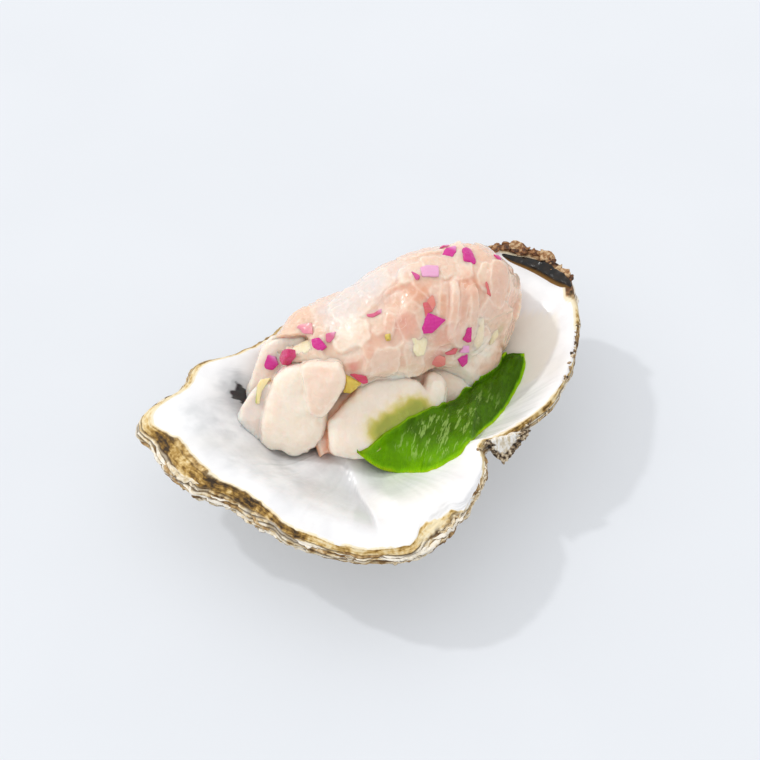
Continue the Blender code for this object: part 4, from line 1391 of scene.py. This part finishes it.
def makeSlice(name, form, finish, node):
    lumps = [lobeLump(lobe, number, form) for number, lobe in enumerate(form["lobes"])]
    piece = fuse(name, *joined(lumps), 0.33, 5)
    spots = spotsOf(piece)
    local = (spots - np.array(form["centre"])) @ sliceAxes(form)
    level = 0.14 * ripple(local * (1, 1, 0.35), 1.8, 66, 2) + 0.30 * ripple(local, 5.0, 67, 2)
    moveTo(piece, spots + outwardOf(piece) * level[:, None])
    shares, rim = lobeShares(form, local)
    for kind, values in zip(sliceKinds, shares.T):
        paint(piece, kind, values * (0.75 + 0.35 * ripple(local, 4.0, 68)))
    paint(piece, "bleed", sauceBleed(spots))
    # painted highlight: lighter where the slice faces up to the light, and along the edges of its lobes
    pale = smooth(0.3, 0.8, outwardOf(piece)[:, 2]) * (0.6 + 0.7 * ripple(local, 2.2, 72, 2))
    paint(piece, "topAndEdgeHighlight", np.clip(pale + 1.6 * rim, 0, 2))
    return register(piece, finish, [node])


def sauceBleed(spots):
    # where the sauce has run thinly over the slice above its bank
    bank = curveThrough(sauceForm["inner"], 80)
    apart = np.full(len(spots), farOff)
    for spot in bank[:44]:
        apart = np.minimum(apart, np.linalg.norm(spots - spot, axis=1))
    apart += 1.3 * ripple(spots, 3.2, 69, 2)
    return (1 - smooth(1.0, 7.2, apart)) * smooth(-17.0, -11.5,
                                                  spots[:, 0]) * (1 - smooth(-2.0, 3.5, spots[:, 0]))


def makeSliceFinish():
    finish, tree, shader = startFinish("sliced_white_fish", {**fleshLight, "Coat Weight": 0.7})
    spot = place(tree)
    feeds = {"Place": spot, "Pale": shade(244, 228, 208)}
    feeds.update({kind.capitalize() + " Share": painted(tree, kind) for kind in sliceKinds})
    # painted highlight on the slices' upper faces and lobe edges
    feeds["Highlight Share"] = painted(tree, "topAndEdgeHighlight")
    flesh = use(tree, rawFlesh, feeds)
    bleed = painted(tree, "bleed")
    drops = cloudy(tree, spot, 1.6, 0.2, 0.8)
    stain = ramp(tree, bleed, [(0.1, (228, 210, 120)), (0.5, (206, 192, 70)), (0.95, (158, 164, 28))])
    uneven = spread(tree, plus(tree, bleed, times(tree, drops, 0.2)), 0.10, 0.85, 0.0, 0.95)
    feed(tree, shader.inputs["Base Color"], mixColours(tree, uneven, flesh["Colour"], stain))
    relief = wetten(tree, shader, spot, 1.0, 0.12, 0.34)
    raiseBy(tree, shader, plus(tree, relief, times(tree, flesh["Height"], 0.5)), 0.4, 0.0004)
    return finish


print("making the slices")
sliceFinish = makeSliceFinish()
left = makeSlice("fish_slice_near", leftSlice, sliceFinish, "fish_slice_left")
front = makeSlice("fish_slice_low", frontSlice, sliceFinish, "fish_slice_front")

print("making the diced fish")
heapTree = treeOf(frame["nodes"]["tartare"])
heap = makeHeap(makeFleshFinish("diced_white_fish"))


# the herb sauce
def makeSauce(finish):
    form = sauceForm
    outer = curveThrough(form["outer"], form["along"])
    hang = np.maximum(outer[:, 2], 0)
    outer = outer[:, :2]
    inner = curveThrough(form["inner"], form["along"])
    walk = np.column_stack([outer, np.zeros(len(outer))])
    span = outer - inner[:, :2]
    outer = outer + span * (0.035 * ripple(walk, 4.0, 90, 2) + 0.012 * ripple(walk, 0.9, 89, 2))[:, None]
    inner[:, :2] -= span * 0.03 * ripple(walk, 2.2, 91, 2)[:, None]
    shares = 0.5 - 0.5 * np.cos(np.linspace(0, math.pi, form["across"]))
    plan = outer[:, None] + (inner[:, None, :2] - outer[:, None]) * shares[None, :, None]
    ground = heightsOver(plan, [shellSkin]) + hang[:, None]
    food = heightsOver(plan, [shellSkin, frontSkin, heapSkin])
    rise = ground[:, 0] + form["margin"]
    line = rise[:, None] + (inner[:, 2] - rise)[:, None] * shares[None] ** 1.1
    toOuter = np.linalg.norm(plan - outer[:, None], axis=2)
    toInner = np.linalg.norm(plan - inner[:, None, :2], axis=2)
    ends = np.minimum(np.linalg.norm(plan - outer[0], axis=2), np.linalg.norm(plan - outer[-1], axis=2))
    margin = np.minimum(np.minimum(toOuter, toInner), ends)
    spots = np.dstack([plan, line])
    stops = (spots[:, :1], spots[-1:])
    fromEdge = np.min([np.linalg.norm(spots - stop, axis=2) for stop in stops], axis=0)
    swirl = 0.30 * ripple(spots, 6.0, 92) + 0.16 * ripple(spots, 2.4, 93)
    brushed = ripple(np.dstack([spots @ (0.92, 0.38, 0.0), 3.2 * (spots @ (-0.38, 0.92, 0.0)), line]), 2.6,
                     94, 3)
    lift = form["swell"] * np.sin(math.pi * shares[None] ** 0.8) + swirl + 0.16 * brushed
    level = line + smooth(0.0, 2.6, margin) * lift
    level = ease(ease(level, 8, 1, closed=False).T, 4, 1, closed=False).T
    nearEnd = smooth(-12.0, -14.5, plan[..., 0])
    lowest = np.minimum(food, line + 1.0 + 4.0 * nearEnd) + 0.10 + 0.9 * smooth(0.0, 1.0, margin)
    byLip = ground + form["margin"] + 0.9 * smooth(0.0, 1.1, toOuter)
    byLip += nearEnd * np.maximum(lowest - byLip, 0)
    level = np.maximum(level, np.where(toOuter < toInner, byLip, lowest))
    level = ease(ease(level, 3, 1, closed=False).T, 2, 1, closed=False).T
    level += 0.035 * ripple(spots, 0.55, 95, 2) * smooth(0.3, 1.2, margin)
    top = np.dstack([plan, level])
    bottom = np.dstack([plan, np.minimum(ground, level) - 0.3])
    piece = bare("herb_sauce_spread", *slab(top, bottom))
    fuller = np.maximum(smooth(0.0, 1.2, level - np.minimum(food, level)), smooth(-4.0, -9.0, plan[..., 0]))
    depth = fuller * smooth(0.0, 1.5, fromEdge)
    depth = depth * (1 - 0.56 * smooth(6.0, -8.0, plan[..., 0]) * smooth(9.0, 1.0, toOuter))
    paint(piece, "thickness", np.tile(depth.ravel(), 2))
    paint(piece, "onFish", np.tile((smooth(1.0, 0.1, toInner) * smooth(12.0, 2.0, plan[..., 0])).ravel(),
                                   2))
    # where the brushed streaks get a painted highlight
    paint(piece, "brushed", np.tile((smooth(1.5, 3.5, margin) * smooth(20.0, 8.0, plan[..., 0])).ravel(),
                                    2))
    flow = np.dstack([spots @ (0.92, 0.38, 0.0) * 0.22, spots @ (-0.38, 0.92, 0.0), 0.3 * line])
    paint(piece, "smear", np.tile(flow.reshape(-1, 3), (2, 1)))
    return register(piece, finish, ["herb_sauce"])


def makeSauceFinish():
    finish, tree, shader = startFinish("herb_sauce_finish", {
        "IOR": 1.34, "Specular IOR Level": 0.18, "Subsurface Weight": 0.15, "Subsurface Scale": 0.001,
        "Subsurface Radius": (0.6, 1.0, 0.15)})
    spot = place(tree)
    streaks = use(tree, growthLines, {"Flow": paintedVector(tree, "smear"), "Width": 1.0})
    patch = cloudy(tree, spot, 2.6, 0.3, 0.7)
    mottle = times(tree, plus(tree, streaks["Tone"], patch), 0.14)
    depth = plus(tree, times(tree, painted(tree, "thickness"), 0.8), mottle)
    colour = ramp(tree, depth, [(0.04, (176, 200, 20)), (0.25, (128, 188, 0)),
                                (0.6, (94, 148, 0)), (0.98, (60, 96, 0))])
    colour = mixColours(tree, painted(tree, "onFish"), colour, shade(120, 156, 6))
    # painted highlight: pale green along the brushed streaks
    light = spread(tree, streaks["Tone"], 0.56, 0.8)
    light = times(tree, light, painted(tree, "brushed"))
    colour = mixColours(tree, times(tree, light, 0.5), colour, shade(172, 204, 110))
    feed(tree, shader.inputs["Base Color"], colour)
    relief = wetten(tree, shader, spot, 0.45, 0.3, 0.5)
    raiseBy(tree, shader, plus(tree, relief, times(tree, streaks["Height"], 0.8)), 0.5, 0.0004)
    return finish


print("making the sauce")
frontSkin = treeOf(front)
heapSkin = treeOf(heap)
makeSauce(makeSauceFinish())


# red onion and apple
# each onion bit: where it lies (mm), turn in degrees, its cut outline as seen from the front (mm), thickness,
# then how pale, how crimson and how far under the flesh it is
onionBits = (
    ((25.5, 4.9, 42.6), 0, ((-1.6, -0.7), (-0.7, 1.1), (1.6, 1.7), (1.6, -0.1), (0.7, -1.5), (-1.0, -1.5)),
     2.0, 0.25, 0.0, 0.0),
    ((27.3, 0.6, 42.4), 0, ((-1.5, 1.7), (-0.6, 2.3), (0.5, 2.1), (1.7, -1.6), (1.4, -2.2), (0.5, -2.2),
                            (-1.1, -1.6)),
     2.0, 0.15, 0.0, 0.0),
    ((33.3, -3.5, 40.0), 0, ((-0.9, 0.7), (0.7, 0.9), (0.9, -0.9), (0.2, -0.9)), 1.4, 0.2, 0.1, 0.1),
    ((26.4, 7.0, 42.0), 0, ((-1.2, -0.3), (1.0, 0.3), (1.2, 0.6), (-0.6, 0.4)), 0.8, 0.3, 0.1, 0.2),
    ((16.5, 3.4, 43.5), 0, ((-2.1, 0.9), (-0.6, 1.4), (2.0, 1.3), (2.0, -1.3), (-1.7, -1.3)), 1.6, 0.9,
     0.0, 0.2),
    ((13.7, 5.2, 43.2), 0, ((-1.0, 0.9), (0.9, 0.1), (0.9, -0.7), (0.1, -1.0)), 1.2, 0.35, 0.1, 0.1),
    ((24.4, -7.3, 39.4), 0, ((-0.8, 1.9), (-0.3, 2.0), (0.9, -1.9), (0.1, -1.4)), 1.0, 0.0, 1.0, 0.4),
    ((11.7, -1.0, 40.8), 0, ((-0.6, 1.9), (0.6, 1.1), (1.1, -0.6), (0.3, -2.0), (-0.6, -1.4), (-1.1, 0.3)),
     1.6, 0.0, 1.0, 0.62),
    ((9.9, -1.4, 39.8), 0, ((-1.0, 1.4), (0.0, 1.6), (1.3, -0.4), (0.3, -0.7), (-0.4, -1.9)), 1.4, 0.0,
     1.0, 0.3),
    ((8.8, -3.4, 37.7), 0, ((-1.4, 0.9), (-0.7, 2.1), (3.3, 0.6), (0.3, -2.1), (-2.6, -2.4), (-2.9, -1.9),
                            (-1.9, -0.7)),
     2.0, 0.05, 0.0, 0.0),
    ((1.7, 7.4, 39.2), 0, ((-1.9, -0.3), (-0.4, -0.1), (1.7, 1.1), (1.6, 0.1), (-0.4, -1.0), (-1.6, -0.8)),
     1.0, 0.3, 0.3, 0.3),
    ((15.2, -8.9, 32.7), 0, ((-0.4, 2.0), (0.9, 1.7), (0.9, -1.7), (-0.1, -1.9), (-1.1, -1.1),
                             (-0.6, 0.0)), 1.6, 0.1, 0.3, 0.0),
    ((14.0, -9.3, 28.9), 0, ((-0.6, 0.9), (1.0, 0.7), (1.0, -0.9), (-1.4, -0.7), (-0.7, 0.0)), 1.5, 0.8,
     0.0, 0.1),
    ((13.2, -9.2, 25.6), 0, ((-1.6, 1.6), (1.3, 1.4), (1.3, -0.7), (0.1, -1.6), (-0.7, -0.4), (-1.4, 0.7)),
     1.8, 0.1, 0.0, 0.0),
    ((10.7, -7.7, 29.5), 0, ((-1.6, 0.1), (1.1, 0.8), (1.7, 0.3), (1.0, -0.7), (-1.1, -0.5)), 1.4, 0.0,
     1.0, 0.3),
    ((7.3, -6.5, 28.9), 0, ((-2.3, 1.9), (-0.1, 1.4), (2.0, 0.1), (2.0, -1.6), (0.1, -1.8), (-1.9, -0.4),
                            (-2.4, 0.9)),
     1.8, 0.0, 1.0, 0.55),
    ((-9.2, 18.6, 34.6), 0, ((-2.0, 1.0), (-0.7, 1.3), (1.6, 1.2), (1.9, -1.3), (-0.1, -1.0),
                             (-1.9, -0.4)), 1.6, 0.55, 0.4, 0.45),
    ((-11.0, 13.3, 34.8), 0, ((-1.7, 1.3), (0.1, 1.6), (1.8, -0.4), (0.1, -1.6), (-1.5, -0.1)), 2.0, 0.1,
     0.1, 0.0),
    ((-8.3, 12.1, 36.2), 0, ((-1.1, 0.7), (1.2, 1.2), (0.9, -0.3), (-0.2, -1.2), (-0.9, -0.9)), 1.4, 0.35,
     0.1, 0.3),
    ((-17.5, 22.6, 27.8), 0, ((-1.6, -0.6), (-0.7, 1.7), (1.0, 1.4), (1.7, -0.3), (0.4, -1.5),
                              (-1.3, -1.3)), 2.2, 0.2, 0.0, 0.0),
    ((-17.4, 18.3, 32.9), 0, ((-2.4, 0.3), (-0.4, 1.4), (1.9, 1.3), (2.4, -0.3), (1.3, -0.7), (-0.7, -1.7),
                              (-1.9, -0.6)),
     2.0, 0.0, 0.8, 0.0),
    ((-9.7, 2.9, 30.2), 0, ((-2.6, 1.4), (1.9, 0.3), (2.3, -1.0), (1.3, -1.3), (-0.4, -0.3)), 1.8, 0.0,
     1.0, 0.1),
)
# round the back: along the heap (-1 to 1), round it (degrees), turn
backOnion = ((-0.55, -68, 20), (-0.30, -62, 75), (-0.22, -86, 140), (0.02, -66, 10), (0.15, -92, 60),
             (0.34, -62, 95),
             (0.48, -78, 30), (0.62, -96, 160), (0.72, -64, 45), (-0.42, -98, 85), (0.28, -105, 20))
# each apple bit: the same, then how yellow and how far under the flesh
appleBits = (
    ((4.6, -3.8, 34.4), 0, ((-2.4, 1.1), (0.7, 2.0), (2.1, 2.6), (1.9, 0.9), (0.9, -2.3), (-0.4, -2.6),
                            (-1.6, -1.7)), 2.6, 0.2, 0.1),
    ((18.0, -9.9, 30.9), 0, ((-1.5, 2.0), (-0.6, 4.3), (1.7, 4.3), (1.7, 0.6), (1.4, -2.9), (-0.3, -4.3),
                             (-1.8, -3.1)),
     2.8, 0.1, 0.5),
    ((23.1, -11.3, 26.5), 0, ((-0.9, 1.6), (1.1, 1.6), (1.1, 0.1), (-0.3, -1.6), (-1.1, -1.9)), 2.2, 0.3,
     0.3),
    ((-12.9, 18.0, 33.6), 0, ((-4.0, -0.4), (-1.7, 1.6), (1.7, 2.3), (3.1, 1.3), (2.9, 0.1), (3.4, -1.3),
                              (-0.6, -2.4)), 3.2, 0.1, -0.5),
    ((-24.4, 19.3, 27.2), 0, ((-0.3, 2.0), (2.0, 2.3), (0.0, -0.6), (-0.6, -3.1), (-1.4, -2.9),
                              (-1.1, 0.6)), 2.6, 0.5, 0.1),
    ((-11.3, 3.2, 28.0), 0, ((-1.1, 2.7), (2.6, 0.6), (-0.3, -2.6), (-1.9, -1.7)), 2.6, 1.0, 0.0),
    ((-0.4, 1.7, 36.9), 0, ((-0.7, 0.6), (0.6, 0.9), (0.6, -0.7), (-0.5, -0.8)), 1.2, 1.3, 0.0),
)
backApple = ((-0.05, -70, 15), (0.40, -66, 50), (-0.48, -75, 110), (0.58, -82, 0), (0.20, -76, 80))


def onHeap(along, around):
    # a place on the heap from how far along it and how far round it lies
    turn = Matrix.Rotation(math.radians(heapForm["turn"]), 3, "Z")
    middle = Vector(heapForm["middle"]) + turn @ Vector((along * heapForm["half"][0], 0, 3.6 * along))
    lean = math.radians(around)
    outward = turn @ Vector((0, -math.sin(lean), math.cos(lean)))
    hit = heapSkin.ray_cast(middle + outward * 40, -outward)[0]
    return tuple(hit) if hit else tuple(middle + outward * 15)


def layBits(name, bits, skins, bevel, finish, painter):
    parts = []
    marks = []
    for number, (spot, turn, outline, thick, *tones) in enumerate(bits):
        where, normal = closest(skins, spot)
        leaned = Vector(normal) + 0.45 * toCamera if spot[1] < 20 else Vector(normal)
        axes = facing(leaned, turn)
        form, faces = tablet(np.array(outline) * (1.05, 1.12), thick, bevel, 0.08, 0.25)
        form = form + 0.10 * unevenly(form, 0.9, (number, number + 40, number + 80))
        form[:, 2] -= 0.03 * (form[:, 0] ** 2 + form[:, 1] ** 2)
        marks.append(painter(form, thick, tones, number))
        proud = 0.42 - 0.45 * tones[-1]
        parts.append((where + (form + (0, 0, proud - 0.5 * thick)) @ axes, faces))
    piece = bare(name, *joined(parts))
    for key in marks[0]:
        paint(piece, key, np.concatenate([mark[key] for mark in marks]))
    return register(piece, finish)


def onionMarks(form, thick, tones, number):
    pale, crimson, under = tones
    sideways = (form @ (0.6, 0.8, 0.0)) / (0.5 * np.ptp(form[:, 1]) + 0.1)
    return {"pale": np.clip(pale + 0.5 * smooth(0.2, 1.1, sideways) * (pale > 0.12), 0, 1),
            "crimson": np.clip(crimson + 0.35 * smooth(0.0, 1.0, -sideways) * (0.4 - under), 0, 1),
            "under": np.clip(under + 0.25 * smooth(-0.2, 1.0, sideways) * (under > 0.4), 0, 1),
            "side": 1 - smooth(-0.1, 0.35, form[:, 2] / thick),
            "cut": np.column_stack([form[:, 0] * 0.25 + number * 9, form[:, 1], form[:, 2]])}


def appleMarks(form, thick, tones, number):
    yellow, under = tones
    return {"yellow": np.full(len(form), yellow), "under": np.full(len(form), under),
            "side": 1 - smooth(-0.2, 0.3, form[:, 2] / thick),
            "peel": smooth(0.5, 0.85, -form[:, 0] / (np.ptp(form[:, 0]) / 2 + 0.01))
            * (number in (4, 8, 10)),
            "cut": form * (1.0, 0.3, 1.0) + (number * 7, 0, 0)}


def makeOnionFinish():
    finish, tree, shader = startFinish("red_onion", {
        "IOR": 1.4, "Subsurface Weight": 0.25, "Subsurface Scale": 0.0008,
        "Subsurface Radius": (1.0, 0.3, 0.6),
        "Coat Weight": 0.45, "Coat Roughness": 0.06})
    spot = place(tree)
    cells = cloudy(tree, paintedVector(tree, "cut"), 0.5, 0.3, 0.7)
    skin = mixColours(tree, painted(tree, "crimson"), shade(200, 16, 136), shade(188, 14, 58))
    skin = mixColours(tree, times(tree, cells, 0.3), skin, shade(222, 60, 160))
    colour = mixColours(tree, spread(tree, painted(tree, "pale"), 0.2, 1.0), skin, shade(228, 172, 218))
    colour = mixColours(tree, times(tree, painted(tree, "side"), 0.3), colour, shade(226, 110, 150))
    colour = mixColours(tree, painted(tree, "under"), colour, shade(232, 158, 132))
    feed(tree, shader.inputs["Base Color"], colour)
    relief = wetten(tree, shader, spot, 0.35, 0.15, 0.35)
    raiseBy(tree, shader, plus(tree, relief, cells), 0.3, 0.00015)
    return finish


def makeAppleFinish():
    finish, tree, shader = startFinish("apple_flesh", {
        "IOR": 1.4, "Subsurface Weight": 0.6, "Subsurface Scale": 0.002,
        "Subsurface Radius": (1.0, 0.8, 0.45),
        "Coat Weight": 0.3, "Coat Roughness": 0.1})
    spot = place(tree)
    grain = cloudy(tree, paintedVector(tree, "cut"), 0.6, 0.3, 0.7, detail=4.0)
    colour = mixColours(tree, grain, shade(240, 228, 194), shade(246, 238, 216))
    colour = mixColours(tree, times(tree, painted(tree, "side"), 0.4), colour, shade(232, 214, 160))
    colour = mixColours(tree, painted(tree, "yellow"), colour, shade(226, 196, 84))
    colour = mixColours(tree, painted(tree, "under"), colour, shade(238, 212, 188))
    colour = mixColours(tree, painted(tree, "peel"), colour, shade(150, 168, 60))
    feed(tree, shader.inputs["Base Color"], colour)
    relief = wetten(tree, shader, spot, 0.4, 0.15, 0.35)
    raiseBy(tree, shader, plus(tree, relief, grain), 0.3, 0.0002)
    return finish


def makeBits():
    draw = random.Random(12)
    onions = list(onionBits)
    for along, around, turn in backOnion:
        corners = sorted(draw.uniform(0, 360) for _ in range(6))
        outline = [(draw.uniform(1.3, 2.6) * math.cos(math.radians(a)),
                    draw.uniform(1.0, 2.2) * math.sin(math.radians(a)))
                   for a in corners]
        onions.append((onHeap(along, around), turn, outline, draw.uniform(1.4, 2.2),
                       draw.choice((0.0, 0.15, 0.7)),
                       draw.choice((0.0, 0.2, 0.8)), 0.1))
    layBits("onion_dice", onions, foodSkins, 0.16, makeOnionFinish(), onionMarks)
    apples = list(appleBits)
    for along, around, turn in backApple:
        half = draw.uniform(1.4, 2.2)
        tall = draw.uniform(1.8, 3.0)
        apples.append((onHeap(along, around), turn,
                       ((-half, -tall), (half, -0.8 * tall), (half * 0.8, tall), (-half, tall)),
                       2.6, 0.2, 0.2))
    layBits("apple_dice", apples, foodSkins, 0.45, makeAppleFinish(), appleMarks)


print("making the onion and apple")
foodSkins = [heapSkin, treeOf(left), frontSkin]
makeBits()


# stage, light and camera
def makeTable():
    bpy.ops.mesh.primitive_plane_add(size=6.0)
    floor = bpy.context.object
    floor.name = "table_top"
    finish, tree, shader = startFinish("pale_table", {
        "Roughness": 0.6, "Specular IOR Level": 0.1, "Emission Strength": 0.27})
    spot = place(tree)
    grain = cloudy(tree, spot, 60.0, detail=2.0)
    feed(tree, shader.inputs["Base Color"], mixColours(tree, grain, (0.494, 0.512, 0.540, 1.0),
                                                       (0.504, 0.522, 0.550, 1.0)))
    shader.inputs["Emission Color"].default_value = (0.955, 0.985, 1.03, 1.0)
    floor.data.materials.append(finish)


def inScene(name, data):
    # puts a light or a camera in the scene
    piece = bpy.data.objects.new(name, data)
    scene.collection.objects.link(piece)
    piece.rotation_mode = "QUATERNION"
    return piece


def makeLight():
    sun = bpy.data.lights.new("sun", "SUN")
    sun.energy = 0.80
    sun.angle = math.radians(3.5)
    away = Vector((0.766, 0.643, 0.0))  # level, straight away from the camera
    travel = toRight * 0.8 - away * 0.3 - Vector((0, 0, 1))
    inScene("sun", sun).rotation_quaternion = travel.to_track_quat("-Z", "Y")

    world = bpy.data.worlds.new("studio")
    scene.world = world
    world.use_nodes = True
    sky = world.node_tree
    way = put(sky, "TexCoord").outputs["Generated"]
    toLight = (-travel).normalized()
    along = put(sky, "VectorMath", {0: way, 1: toLight}, operation="DOT_PRODUCT").outputs["Value"]
    bright = spread(sky, along, -0.4, 1.0, 0.82, 1.10)
    height = put(sky, "SeparateXYZ", {0: way}).outputs[2]
    low = spread(sky, height, 0.05, 0.62, 0.93, 0.0)  # paler walls of the studio, low down
    feed(sky, sky.nodes["Background"].inputs["Strength"], sums(sky, "MAXIMUM", bright, low))
    sky.nodes["Background"].inputs["Color"].default_value = (1.0, 1.0, 1.0, 1.0)


def makeCamera():
    lens = bpy.data.cameras.new("camera")
    lens.lens = 100
    lens.sensor_width = 36
    lens.clip_start = 0.01
    camera = inScene("camera", lens)
    camera.location = (-0.2534, -0.2082, 0.3874)
    camera.rotation_quaternion = Vector((0.5126, 0.4301, -0.7431)).to_track_quat("-Z", "Y")
    scene.camera = camera
    scene.view_settings.view_transform = "Standard"


print("making the stage")
makeTable()
makeLight()
makeCamera()
